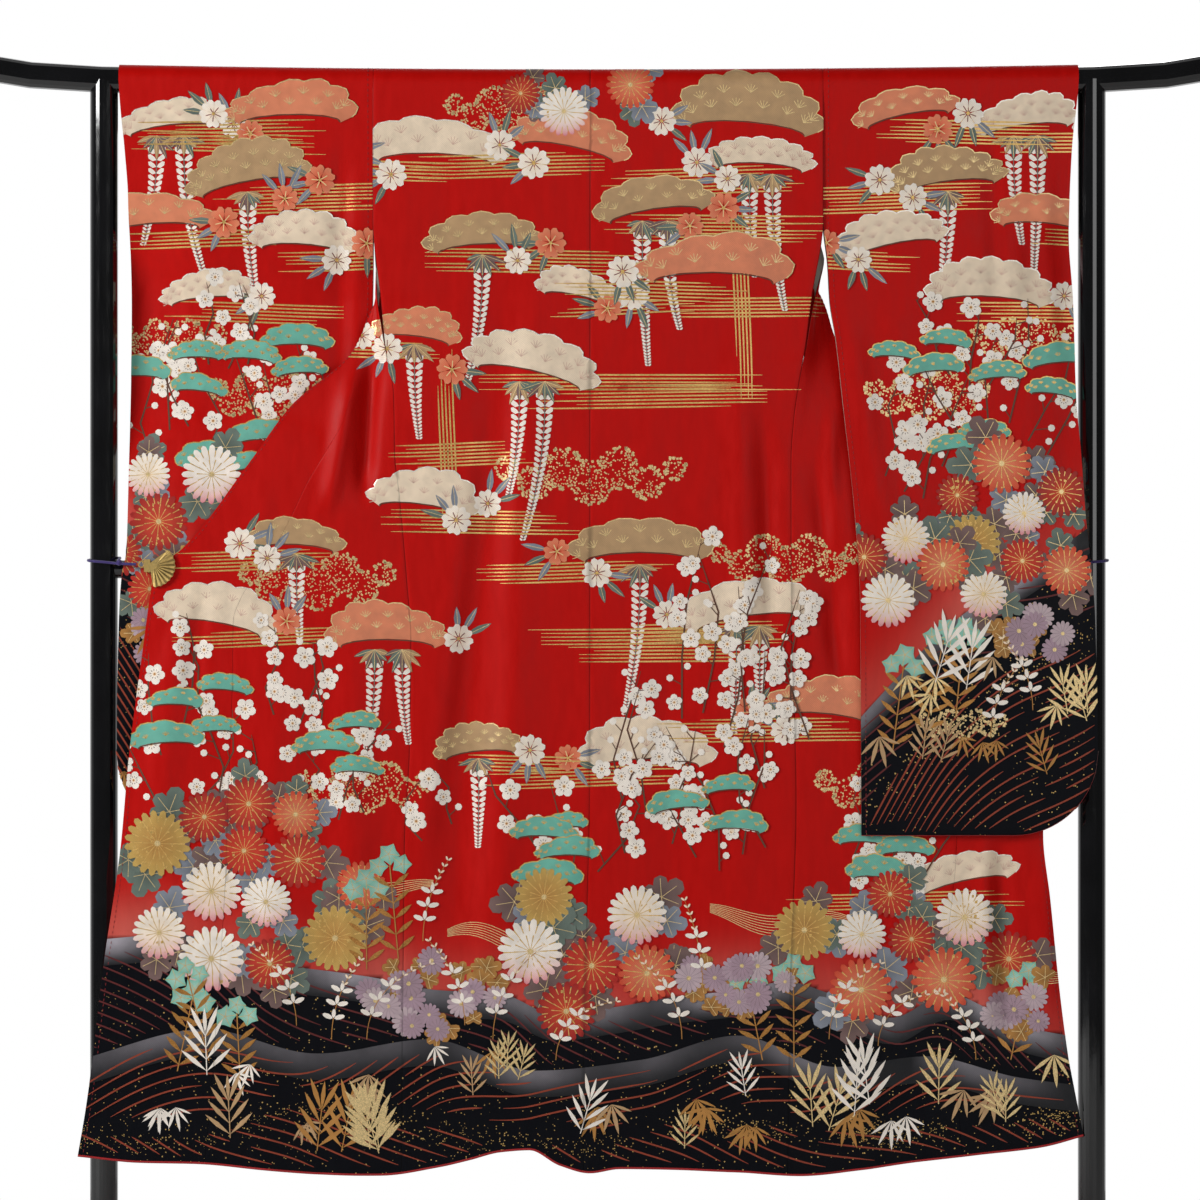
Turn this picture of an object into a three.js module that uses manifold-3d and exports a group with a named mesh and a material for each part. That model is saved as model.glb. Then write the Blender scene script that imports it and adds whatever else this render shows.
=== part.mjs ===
// Furisode kimono hung by its shoulders over the rail of a rack stand, its back to the -Y side.
// Millimetres, +Z up, floor at z = 0, origin on the floor at the middle of the stand.
// "left" is the -X side and "right" the +X side.
import * as THREE from 'three';
import * as BufferGeometryUtils from 'three/addons/utils/BufferGeometryUtils.js';
import Module from 'manifold-3d';

const wasm = await Module();
wasm.setup();

// ---------------------------------------------------------------- sizes
const GAP = 0.3;               // between pieces that meet
const CLOTH = 1.6;             // lined silk, outer cloth and lining as one wall
const COLLAR_CLOTH = 2.4;      // the collar band is folded double
const RAIL_RADIUS = 19;
const RAIL_MIDDLE = 1695;      // height of the rail's axis at its middle, where it sags
const RAIL_AT_POST = 1702;
const RAIL_REACH = 912;        // half length of the bent tube
const RAIL_BEND_START = 720;
const RAIL_BEND_RADIUS = 1000;
const POST_X = 707;
const POST_RADIUS = 20;
const MID_BAR_HEIGHT = 1001;
const MID_BAR_RADIUS = 13;
const FOOT_HALF_LENGTH = 225;
const FOOT_WIDTH = 40;
const FOOT_HEIGHT = 30;
const GLIDE_RADIUS = 17;
const GLIDE_HEIGHT = 6;
const GLIDE_INSET = 30;

const RIDE = RAIL_RADIUS + CLOTH / 2 + 1.2;   // middle of the cloth from the rail's axis
const SHOULDER_DROP = 47;      // the shoulder line hangs this far down behind the rail
const NECK_DROP = 22;          // the back of the neck opening, measured the same way
const NECK_LEFT = -101;
const NECK_RIGHT = 79;
const NECK_BLEND = 12;
const HEM_LEVEL = 150;         // rows are laid out to this level, then follow the hem line
const HEM_START = 300;
const BACK_DEPTH = -22;
const SLEEVE_BOTTOM = 622;
const SLEEVE_CORNER = 120;     // radius of the sleeve's rounded outer corner
const CUFF_OPENING = 230;
const CUFF_EDGE_HALF_GAP = 1.2;
const COLLAR_STAND_OFF = 2.6;
const COLLAR_LEAN = { x: 41, z: 36.5 };   // from the sewn edge to the free edge, across the band
const CLIP_X = 633;
const CLIP_HEIGHT = 1006;
const FAN_RADIUS = 31;
const FAN_OPENING = { from: -92, to: 48 };      // degrees, the spread of the clip's front jaw
const REAR_JAW_OPENING = { from: -30, to: 20 };
const BUNDLE = 1386;           // where the fronts turn out from behind the back
const GATHER = 1392;           // middle of the gathers there
const WALL_SHARE = 0.45;       // of one turn round a sleeve, for each of its walls
const FOLD_SHARE = 0.04;       // of a wall's climb, for its half of the bottom fold
const SLEEVE_LENGTH = 1085;    // drop of the bottom fold below the rail
const TIE_RADIUS = 2;

const LACQUER = { color: 0x0a0a0c, roughness: 0.15, metalness: 0.1 };
const RUBBER = { color: 0x1a1a1a, roughness: 0.8, metalness: 0 };
const SILK = { color: 0xb81418, roughness: 0.5, metalness: 0 };
const BRASS = { color: 0xb59a48, roughness: 0.35, metalness: 0.9 };
const CORD = { color: 0x2c1470, roughness: 0.7, metalness: 0 };

// ---------------------------------------------------------------- edges of the pieces
// x is given as a distance from the middle plane, so each side's table is read with its own sign.
const SIDES = {
  left: {
    sign: -1,
    sideSeam: [
      { z: 1702, x: 321.5 }, { z: 1502, x: 321.5 }, { z: 1386, x: 310 }, { z: 1317, x: 303 },
      { z: 1251, x: 292 }, { z: 1164, x: 290 }, { z: 1100, x: 283 }, { z: 986, x: 273 },
      { z: 900, x: 267 }, { z: 743, x: 269 }, { z: 614, x: 276 }, { z: 150, x: 280 },
    ],
    frontSide: [
      { z: 1655, out: -0.15, y: 21 }, { z: 1502, out: -0.15, y: 20 }, { z: 1440, out: 2, y: 4 },
      { z: 1386, out: 5, y: -18 }, { z: 1340, out: 2.2, y: -20.5 }, { z: 1300, out: 0.15, y: -22 },
      { z: 1200, out: 0.15, y: -23 }, { z: 150, out: 0.15, y: -24 },
    ],
    frontEdge: [
      { z: 1655, x: 101, y: 21 }, { z: 1502, x: 224, y: 9 }, { z: 1386, x: 317, y: -3 },
      { z: 1311, x: 352, y: -8 }, { z: 1236, x: 437, y: -17 }, { z: 1154, x: 497, y: -25 },
      { z: 1026, x: 597, y: -34 }, { z: 1003, x: 632, y: -34 }, { z: 974, x: 637, y: -35 },
      { z: 886, x: 649, y: -37 }, { z: 729, x: 669, y: -38 }, { z: 600, x: 681, y: -37 },
      { z: 443, x: 704, y: -35 }, { z: 229, x: 730, y: -32 }, { z: 150, x: 742, y: -31 },
    ],
    okumiSeam: [
      { z: 1479, share: 1 }, { z: 1386, share: 0.86 }, { z: 1311, share: 0.74 }, { z: 1250, share: 0.45 },
      { z: 1214, share: 0.44 }, { z: 1171, share: 0.5 }, { z: 1110, share: 0.565 }, { z: 1026, share: 0.587 },
      { z: 1003, share: 0.582 }, { z: 983, share: 0.614 }, { z: 960, share: 0.648 }, { z: 930, share: 0.672 },
      { z: 843, share: 0.656 }, { z: 671, share: 0.635 }, { z: 386, share: 0.61 },
      { z: 150, share: 0.61 },
    ],
    sleeveInner: [
      { z: 1702, x: 321.5 }, { z: 1502, x: 321.5 }, { z: 1390, x: 323 }, { z: 1300, x: 331 },
      { z: 1200, x: 346 }, { z: 1071, x: 360 }, { z: 957, x: 366 }, { z: 622, x: 368 },
    ],
    sleeveOuter: [
      { z: 1720, x: 686 }, { z: 1671, x: 683 }, { z: 1600, x: 676 }, { z: 1529, x: 671 },
      { z: 1385, x: 669 }, { z: 1171, x: 671 }, { z: 1029, x: 673 }, { z: 993, x: 680 },
      { z: 929, x: 684 }, { z: 770, x: 687 }, { z: 622, x: 687 },
    ],
    sleeveHang: [
      { drop: 0, y: 0 }, { drop: 200, y: 0 }, { drop: 316, y: 24 }, { drop: 450, y: 19 },
      { drop: 620, y: -15 }, { drop: 690, y: -21.5 }, { drop: 760, y: -21 }, { drop: SLEEVE_LENGTH, y: -18 },
    ],
  },
  right: {
    sign: 1,
    sideSeam: [
      { z: 1702, x: 322 }, { z: 1502, x: 322 }, { z: 1381, x: 304 }, { z: 1324, x: 297 },
      { z: 1261, x: 286 }, { z: 1216, x: 280 }, { z: 1157, x: 276 }, { z: 957, x: 276 },
      { z: 671, x: 283 }, { z: 386, x: 274 }, { z: 150, x: 271 },
    ],
    frontSide: [
      { z: 1655, out: -0.15, y: 21 }, { z: 1502, out: -0.15, y: 20 }, { z: 1472, out: -0.6, y: 12 },
      { z: 1440, out: 9, y: 0 },
      { z: 1386, out: 4.5, y: -18 }, { z: 1340, out: 2, y: -20.5 }, { z: 1280, out: 0.3, y: -22 },
      { z: 1200, out: 0.15, y: -22 }, { z: 150, out: 0.15, y: -22 },
    ],
    frontEdge: [
      { z: 1655, x: 79, y: 21 }, { z: 1502, x: 216, y: 16 }, { z: 1440, x: 275, y: 12 },
      { z: 1386, x: 322, y: 8 }, { z: 1326, x: 343, y: 3 }, { z: 1236, x: 437, y: -8 },
      { z: 1154, x: 497, y: -16 }, { z: 1026, x: 597, y: -25 }, { z: 1003, x: 632, y: -25 },
      { z: 960, x: 636, y: -25 }, { z: 622, x: 636, y: -20 }, { z: 529, x: 646, y: -18 },
      { z: 386, x: 661, y: -16 }, { z: 257, x: 679, y: -16 }, { z: 150, x: 694, y: -16 },
    ],
    okumiSeam: [
      { z: 1479, share: 1 }, { z: 1386, share: 0.86 }, { z: 1311, share: 0.74 }, { z: 1250, share: 0.52 },
      { z: 1110, share: 0.565 }, { z: 1024, share: 0.59 }, { z: 940, share: 0.67 }, { z: 617, share: 0.652 },
      { z: 440, share: 0.59 }, { z: 150, share: 0.592 },
    ],
    sleeveInner: [
      { z: 1702, x: 322 }, { z: 1502, x: 322 }, { z: 1436, x: 328.6 }, { z: 1386, x: 331 },
      { z: 1326, x: 340 }, { z: 1243, x: 349 }, { z: 1071, x: 367 }, { z: 957, x: 374 }, { z: 622, x: 376 },
    ],
    sleeveOuter: [
      { z: 1720, x: 688 }, { z: 1686, x: 686 }, { z: 1600, x: 677 }, { z: 1493, x: 673 },
      { z: 1386, x: 679 }, { z: 1243, x: 683 }, { z: 1171, x: 689 }, { z: 1071, x: 696 },
      { z: 1000, x: 704 }, { z: 929, x: 709 }, { z: 735, x: 713 }, { z: 622, x: 713 },
    ],
    sleeveHang: [
      { drop: 0, y: 0 }, { drop: 200, y: 0 }, { drop: 330, y: -14 }, { drop: 700, y: -37 },
      { drop: SLEEVE_LENGTH, y: -30 },
    ],
  },
};

const BACK_SEAM = [{ z: 1702, x: -11 }, { z: 700, x: -12 }, { z: 300, x: -20 }, { z: 150, x: -20 }];

// Height of the hem line across the whole spread skirt.
const HEM = [
  { x: -745, z: 165 }, { x: -655, z: 156 }, { x: -570, z: 154 }, { x: -483, z: 146 }, { x: -397, z: 139 },
  { x: -311, z: 137 }, { x: -226, z: 149 }, { x: -183, z: 159 }, { x: -140, z: 170 }, { x: -97, z: 173 },
  { x: -54, z: 151 }, { x: -11, z: 140 }, { x: 31, z: 146 }, { x: 203, z: 141 }, { x: 289, z: 136 },
  { x: 374, z: 144 }, { x: 460, z: 156 }, { x: 546, z: 166 }, { x: 631, z: 176 }, { x: 700, z: 194 },
];

// Half distance between the two walls of a sleeve, by drop below the rail.
const SLEEVE_HALF_GAP = [
  { drop: 0, gap: 21 }, { drop: 200, gap: 20 }, { drop: 400, gap: 8.5 }, { drop: 700, gap: 3.4 },
  { drop: SLEEVE_LENGTH, gap: 2.2 },
];

// Folds: a soft ridge (+) or trough (-) along a line from top to bottom, raised toward -Y.
const SKIRT_FOLDS = [
  { x1: -118, z1: 1500, x2: -226, z2: 300, width: 34, rise: -9 },
  { x1: -88, z1: 1560, x2: -150, z2: 300, width: 30, rise: 6 },
  { x1: -160, z1: 1300, x2: -262, z2: 520, width: 20, rise: 3 },
  { x1: 200, z1: 1390, x2: 214, z2: 800, width: 20, rise: 6 },
  { x1: 238, z1: 1250, x2: 250, z2: 860, width: 13, rise: -6 },
  { x1: 100, z1: 1120, x2: 120, z2: 150, width: 46, rise: -4 },
  { x1: -320, z1: 1345, x2: -336, z2: 1080, width: 14, rise: -15 },
  { x1: -349, z1: 1300, x2: -388, z2: 1060, width: 14, rise: 8 },
  { x1: -562, z1: 985, x2: -580, z2: 800, width: 14, rise: -5 },
  { x1: -600, z1: 980, x2: -640, z2: 520, width: 24, rise: 6 },
  { x1: -450, z1: 900, x2: -470, z2: 150, width: 36, rise: 7 },
  { x1: -345, z1: 1000, x2: -352, z2: 150, width: 28, rise: 5 },
  { x1: 312, z1: 1180, x2: 352, z2: 790, width: 16, rise: -9 },
  { x1: 336, z1: 1290, x2: 330, z2: 900, width: 12, rise: 4 },
  { x1: 574, z1: 640, x2: 590, z2: 300, width: 14, rise: -7 },
  { x1: 552, z1: 640, x2: 556, z2: 300, width: 12, rise: 4 },
  { x1: 628, z1: 640, x2: 650, z2: 300, width: 16, rise: 5 },
  { x1: 420, z1: 600, x2: 430, z2: 150, width: 36, rise: -4 },
];
const SLEEVE_FOLDS = [
  { x1: -366, z1: 1660, x2: -372, z2: 1040, width: 16, rise: -5 },
  { x1: -343, z1: 1640, x2: -352, z2: 1100, width: 12, rise: 3 },
  { x1: -583, z1: 1690, x2: -545, z2: 1600, width: 9, rise: -2 },
  { x1: -450, z1: 1600, x2: -455, z2: 900, width: 40, rise: 3 },
  { x1: 560, z1: 1671, x2: 576, z2: 1300, width: 16, rise: -4 },
  { x1: 630, z1: 1640, x2: 655, z2: 1200, width: 16, rise: 4 },
  { x1: 352, z1: 1400, x2: 420, z2: 1000, width: 18, rise: 4 },
  { x1: 480, z1: 1500, x2: 500, z2: 760, width: 44, rise: -4 },
];

// ---------------------------------------------------------------- small maths
const lerp = (a, b, t) => a + (b - a) * t;
const clamp01 = (t) => Math.min(1, Math.max(0, t));
const smooth = (t) => clamp01(t) ** 2 * (3 - 2 * clamp01(t));
const easeOut = (t) => 1 - (1 - t) ** 2;

// A smooth curve through a table's rows that never overshoots them.
function curve(rows, key, value) {
  const sorted = [...rows].sort((a, b) => a[key] - b[key]);
  const k = sorted.map((row) => row[key]);
  const v = sorted.map((row) => row[value]);
  const last = k.length - 1;
  const chord = k.slice(1).map((next, i) => (v[i + 1] - v[i]) / (next - k[i]));
  const slope = k.map((_, i) => {
    if (i === 0 || i === last) return chord[Math.min(i, last - 1)];
    const before = chord[i - 1];
    const after = chord[i];
    return before * after <= 0 ? 0 : (2 * before * after) / (before + after);
  });
  return (at) => {
    if (at <= k[0]) return v[0];
    if (at >= k[last]) return v[last];
    let i = 0;
    while (at > k[i + 1]) i += 1;
    const span = k[i + 1] - k[i];
    const t = (at - k[i]) / span;
    return v[i] * (1 + 2 * t) * (1 - t) ** 2 + slope[i] * span * t * (1 - t) ** 2
      + v[i + 1] * t * t * (3 - 2 * t) + slope[i + 1] * span * t * t * (t - 1);
  };
}

function foldRise(folds, x, z) {
  let rise = 0;
  for (const fold of folds) {
    const along = (fold.z1 - z) / (fold.z1 - fold.z2);
    const reachesHem = fold.z2 <= HEM_LEVEL;
    const fade = smooth(along / 0.3) * (reachesHem ? 1 : smooth((1 - along) / 0.3));
    const away = (x - lerp(fold.x1, fold.x2, clamp01(along))) / fold.width;
    rise += fold.rise * fade * Math.exp(-away * away);
  }
  return rise;
}

const backSeamX = curve(BACK_SEAM, 'z', 'x');
const hemHeight = curve(HEM, 'x', 'z');
const sleeveHalfGap = curve(SLEEVE_HALF_GAP, 'drop', 'gap');

for (const side of Object.values(SIDES)) {
  side.seamX = curve(side.sideSeam, 'z', 'x');
  side.frontSideOut = curve(side.frontSide, 'z', 'out');
  side.frontSideX = (z) => side.seamX(z) + side.frontSideOut(z);
  side.frontSideY = curve(side.frontSide, 'z', 'y');
  side.frontEdgeX = curve(side.frontEdge, 'z', 'x');
  side.frontEdgeY = curve(side.frontEdge, 'z', 'y');
  side.okumiShare = curve(side.okumiSeam, 'z', 'share');
  side.innerX = curve(side.sleeveInner, 'z', 'x');
  side.outerX = curve(side.sleeveOuter, 'z', 'x');
  side.hangY = curve(side.sleeveHang, 'drop', 'y');
}

function railHeight(x) {
  const bend = Math.max(0, Math.abs(x) - RAIL_BEND_START);
  return RAIL_MIDDLE + (RAIL_AT_POST - RAIL_MIDDLE) * (x / POST_X) ** 2 + bend ** 2 / (2 * RAIL_BEND_RADIUS);
}

// Below HEM_START the rows close up or spread so that the last one lies on the hem line.
function alongHem(x, level) {
  if (level >= HEM_START) return level;
  return HEM_START - ((HEM_START - level) * (HEM_START - hemHeight(x))) / (HEM_START - HEM_LEVEL);
}

// ---------------------------------------------------------------- cloth surfaces
// Each surface is the middle of a wall.

function backDepth(side, share, x, z) {
  const seamY = z < BUNDLE ? side.frontSideY(z) : BACK_DEPTH;
  const edgeY = lerp(BACK_DEPTH, Math.min(seamY, -20.5) - (z > 1300 ? 1.2 : 0), smooth((share - 0.6) / 0.4));
  return edgeY - foldRise(SKIRT_FOLDS, x, z) * smooth((RAIL_AT_POST - z) / 120);
}

// share runs from the centre back seam to the side seam, path from the shoulder line over the rail and down.
function backPoint(side, share, path) {
  const over = Math.PI * RIDE;
  const level = RAIL_AT_POST + Math.min(0, path) - Math.max(0, path - over);
  const middle = backSeamX(level) + side.sign * GAP / 2;
  const edge = side.sign * (side.seamX(level) - GAP / 2);
  const x = lerp(middle, edge, share);
  const rail = railHeight(x);
  if (path < 0) {
    return new THREE.Vector3(x, RIDE, rail + path);
  }
  if (path < over) {
    return new THREE.Vector3(x, RIDE * Math.cos(path / RIDE), rail + RIDE * Math.sin(path / RIDE));
  }
  const settle = clamp01((path - over) / 60);
  const z = lerp(rail - (path - over), alongHem(x, level), settle);
  return new THREE.Vector3(x, lerp(-RIDE, backDepth(side, share, x, level), settle), z);
}

function backTop(x) {
  const intoNeck = Math.min(x - NECK_LEFT, NECK_RIGHT - x) / NECK_BLEND;
  return lerp(SHOULDER_DROP, NECK_DROP, smooth(intoNeck));
}

// share runs from the side seam to the front edge: the front body panel and its overlap panel together.
function frontPoint(side, share, level) {
  const inner = side.frontSideX(level);
  const outer = side.frontEdgeX(level);
  const bundle = Math.exp(-(((level - GATHER) / 55) ** 2));
  const gather = 2.2 * bundle * Math.sin(5 * Math.PI * share) * (1 - smooth((share - 0.65) / 0.15));
  const x = side.sign * (lerp(inner, outer, share) + gather);
  const rise = level < BUNDLE ? foldRise(SKIRT_FOLDS, x, level) : 0;
  const bow = level < BUNDLE ? easeOut(share) : share;
  const y = lerp(side.frontSideY(level), side.frontEdgeY(level), bow) - rise;
  const sag = (railHeight(x) - RAIL_AT_POST) * smooth((level - 1450) / 180);
  return new THREE.Vector3(x, y, alongHem(x, level) + sag);
}

function sleeveBottom(share, width) {
  const inFromEdge = Math.max(0, (1 - share) * width);
  if (inFromEdge >= SLEEVE_CORNER) return SLEEVE_BOTTOM;
  return SLEEVE_BOTTOM + SLEEVE_CORNER - Math.sqrt(SLEEVE_CORNER ** 2 - (SLEEVE_CORNER - inFromEdge) ** 2);
}

// share runs from the sleeve's inner edge to its outer edge. turn goes once round the bag:
// from the bottom fold up the -Y wall, over the rail, and down the +Y wall to the fold again.
function sleevePoint(side, share, turn) {
  const width = side.outerX(SLEEVE_BOTTOM) - side.innerX(SLEEVE_BOTTOM);
  const bottom = sleeveBottom(share, width);
  const wall = turn < WALL_SHARE || turn > 1 - WALL_SHARE;
  const climb = (turn < WALL_SHARE ? turn : 1 - turn) / WALL_SHARE;
  const foldHeight = sleeveHalfGap(SLEEVE_LENGTH);
  const railGuess = RAIL_AT_POST - 2;
  const upWall = clamp01((climb - FOLD_SHARE) / (1 - FOLD_SHARE));
  const level = wall ? lerp(bottom + foldHeight, railGuess, upWall) : railGuess;
  const x = side.sign * lerp(side.innerX(level) + GAP / 2, side.outerX(level), share);
  const rail = railHeight(x);
  if (!wall) {
    const angle = ((turn - WALL_SHARE) / (1 - 2 * WALL_SHARE)) * Math.PI;
    return new THREE.Vector3(x, -RIDE * Math.cos(angle), rail + RIDE * Math.sin(angle));
  }
  const drop = railGuess - level;
  const closing = smooth((share - 0.7) / 0.3) * smooth((drop - CUFF_OPENING + 40) / 50);
  const halfGap = lerp(sleeveHalfGap(drop), CUFF_EDGE_HALF_GAP, closing);
  const rise = foldRise(SLEEVE_FOLDS, x, level) * smooth(drop / 80);
  const middle = side.hangY(drop) - rise;
  const z = level + (rail - railGuess) * clamp01(1 - drop / 60);
  if (climb >= FOLD_SHARE) {
    const front = turn < WALL_SHARE ? -1 : 1;
    return new THREE.Vector3(x, middle + front * halfGap, z);
  }
  const angle = (climb / FOLD_SHARE) * (Math.PI / 2) * (turn < WALL_SHARE ? 1 : -1);
  return new THREE.Vector3(x, middle - halfGap * Math.sin(angle), z - foldHeight * Math.cos(angle));
}

// ---------------------------------------------------------------- solids
function closedGeometry(points, triangles) {
  const position = new Float32Array(points.flatMap((p) => [p.x, p.y, p.z]));
  const geometry = new THREE.BufferGeometry();
  geometry.setAttribute('position', new THREE.BufferAttribute(position, 3));
  let volume = 0;
  for (const [a, b, c] of triangles) {
    volume += points[a].dot(new THREE.Vector3().crossVectors(points[b], points[c]));
  }
  const outward = volume > 0 ? triangles : triangles.map(([a, b, c]) => [a, c, b]);
  geometry.setIndex(outward.flat());
  return geometry;
}

function normalAt(surface, u, v, step) {
  const du = surface(u + step, v).sub(surface(u - step, v));
  const dv = surface(u, v + step).sub(surface(u, v - step));
  return du.cross(dv).normalize();
}

// A wall of even thickness on a surface: us and vs are the columns and rows of its grid.
function wallSolid(surface, us, vs, thickness) {
  const points = [];
  const triangles = [];
  const rows = vs.length;
  const layer = us.length * rows;
  for (const face of [0.5, -0.5]) {
    for (const u of us) {
      for (const v of vs) {
        const normal = normalAt(surface, u, v, 1e-4);
        points.push(surface(u, v).addScaledVector(normal, face * thickness));
      }
    }
  }
  const quad = (a, b, c, d) => triangles.push([a, b, c], [a, c, d]);
  for (let i = 0; i < us.length - 1; i += 1) {
    for (let j = 0; j < rows - 1; j += 1) {
      const k = j + 1;
      quad(i * rows + j, (i + 1) * rows + j, (i + 1) * rows + k, i * rows + k);
      quad(layer + i * rows + j, layer + i * rows + k, layer + (i + 1) * rows + k, layer + (i + 1) * rows + j);
    }
  }
  for (let j = 0; j < rows - 1; j += 1) {
    const k = j + 1;
    const end = (us.length - 1) * rows;
    quad(j, k, layer + k, layer + j);
    quad(end + j, layer + end + j, layer + end + k, end + k);
  }
  for (let i = 0; i < us.length - 1; i += 1) {
    const a = i * rows;
    const b = (i + 1) * rows;
    quad(a, layer + a, layer + b, b);
    quad(a + rows - 1, b + rows - 1, layer + b + rows - 1, layer + a + rows - 1);
  }
  return closedGeometry(points, triangles);
}

const meshes = [];

function piece(name, geometry, look) {
  const mesh = new THREE.Mesh(geometry, new THREE.MeshStandardMaterial({ name, ...look }));
  mesh.name = name;
  meshes.push(mesh);
  return mesh;
}

function toManifold(geometry) {
  const bare = geometry.clone();
  bare.deleteAttribute('normal');
  bare.deleteAttribute('uv');
  const merged = BufferGeometryUtils.mergeVertices(bare, 1e-4);
  return new wasm.Manifold(new wasm.Mesh({
    numProp: 3,
    vertProperties: merged.attributes.position.array,
    triVerts: new Uint32Array(merged.index.array),
  }));
}

function fromManifold(solid) {
  const mesh = solid.getMesh();
  const geometry = new THREE.BufferGeometry();
  geometry.setAttribute('position', new THREE.BufferAttribute(new Float32Array(mesh.vertProperties), 3));
  geometry.setIndex([...mesh.triVerts]);
  return geometry;
}

// ---------------------------------------------------------------- the stand
class RailCurve extends THREE.Curve {
  constructor(reach) {
    super();
    this.reach = reach;
  }

  getPoint(t, target = new THREE.Vector3()) {
    const x = lerp(-this.reach, this.reach, t);
    return target.set(x, 0, railHeight(x));
  }
}

function roundSection(radius, sides) {
  const shape = new THREE.Shape();
  for (let i = 0; i < sides; i += 1) {
    const angle = (2 * Math.PI * i) / sides;
    const draw = i === 0 ? 'moveTo' : 'lineTo';
    shape[draw](radius * Math.cos(angle), radius * Math.sin(angle));
  }
  return shape;
}

function tube(path, radius, sides, steps) {
  return new THREE.ExtrudeGeometry(roundSection(radius, sides), { steps, extrudePath: path, bevelEnabled: false });
}

function buildRail() {
  piece('rail', tube(new RailCurve(RAIL_REACH), RAIL_RADIUS, 16, 18), LACQUER);
  for (const [name, side] of Object.entries(SIDES)) {
    const profile = [new THREE.Vector2(0, 0), new THREE.Vector2(RAIL_RADIUS, 0)];
    for (let i = 1; i < 4; i += 1) {
      const angle = (i / 4) * (Math.PI / 2);
      profile.push(new THREE.Vector2(RAIL_RADIUS * Math.cos(angle), 2 + 13 * Math.sin(angle)));
    }
    profile.push(new THREE.Vector2(0, 15));
    const cap = new THREE.LatheGeometry(profile, 16);
    const mesh = piece(`rail_end_${name}`, cap, LACQUER);
    const slope = (railHeight(RAIL_REACH) - railHeight(RAIL_REACH - 1));
    const outward = new THREE.Vector3(side.sign, 0, slope).normalize();
    mesh.quaternion.setFromUnitVectors(new THREE.Vector3(0, 1, 0), outward);
    mesh.position.set(side.sign * RAIL_REACH, 0, railHeight(RAIL_REACH)).addScaledVector(outward, GAP);
  }
}

function buildPosts() {
  const railCut = toManifold(tube(new RailCurve(RAIL_REACH), RAIL_RADIUS + GAP, 16, 18));
  const bottom = GLIDE_HEIGHT + GAP + FOOT_HEIGHT + GAP;
  const length = RAIL_AT_POST - bottom;
  for (const [name, side] of Object.entries(SIDES)) {
    const post = new THREE.CylinderGeometry(POST_RADIUS, POST_RADIUS, length, 24);
    post.rotateX(Math.PI / 2);
    post.translate(side.sign * POST_X, 0, bottom + length / 2);
    piece(`post_${name}`, fromManifold(toManifold(post).subtract(railCut)), LACQUER);
  }
}

function buildMidBar() {
  const bar = new THREE.CylinderGeometry(MID_BAR_RADIUS, MID_BAR_RADIUS, 2 * POST_X, 20);
  bar.rotateZ(Math.PI / 2);
  bar.translate(0, 0, MID_BAR_HEIGHT);
  let solid = toManifold(bar);
  for (const side of Object.values(SIDES)) {
    const post = new THREE.CylinderGeometry(POST_RADIUS + GAP, POST_RADIUS + GAP, 200, 24);
    post.rotateX(Math.PI / 2);
    post.translate(side.sign * POST_X, 0, MID_BAR_HEIGHT);
    const beyond = new THREE.BoxGeometry(100, 100, 100);
    beyond.translate(side.sign * (POST_X + 50), 0, MID_BAR_HEIGHT);
    solid = solid.subtract(toManifold(post)).subtract(toManifold(beyond));
  }
  piece('mid_bar', fromManifold(solid), LACQUER);
}

function buildFeet() {
  const corner = 9;
  const shape = new THREE.Shape();
  const w = FOOT_WIDTH / 2;
  shape.moveTo(-w, 0);
  shape.lineTo(w, 0);
  shape.lineTo(w, FOOT_HEIGHT - corner);
  shape.absarc(w - corner, FOOT_HEIGHT - corner, corner, 0, Math.PI / 2);
  shape.lineTo(-w + corner, FOOT_HEIGHT);
  shape.absarc(-w + corner, FOOT_HEIGHT - corner, corner, Math.PI / 2, Math.PI);
  for (const [name, side] of Object.entries(SIDES)) {
    const bar = new THREE.ExtrudeGeometry(shape, { depth: 2 * FOOT_HALF_LENGTH, bevelEnabled: false, curveSegments: 4 });
    bar.rotateX(Math.PI / 2);
    const foot = piece(`foot_${name}`, bar, LACQUER);
    foot.position.set(side.sign * POST_X, FOOT_HALF_LENGTH, GLIDE_HEIGHT + GAP);
    for (const [end, y] of [['front', -1], ['rear', 1]]) {
      const glide = new THREE.CylinderGeometry(GLIDE_RADIUS, GLIDE_RADIUS, GLIDE_HEIGHT, 20);
      glide.rotateX(Math.PI / 2);
      const mesh = piece(`glide_${name}_${end}`, glide, RUBBER);
      mesh.position.set(side.sign * POST_X, y * (FOOT_HALF_LENGTH - GLIDE_INSET), GLIDE_HEIGHT / 2);
    }
  }
}

// ---------------------------------------------------------------- the garment
const FRONT_COLUMNS = [0, 0.1, 0.2, 0.3, 0.42, 0.54, 0.66, 0.78, 0.9, 1];
const FRONT_LEVELS = [
  1654.7, 1580, 1510, 1475, 1448, 1425, 1408, 1395, 1382, 1368, 1352, 1335, 1315, 1290, 1265, 1235, 1190,
  1140, 1090, 1050, 1026, 1003, 970, 920, 850, 770, 680, 590, 500, 410, 330, 260, 200, 150,
];
const OVER_STEPS = 6;          // facets of a wall over the rail
const OKUMI_TIP = 1455;

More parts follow.
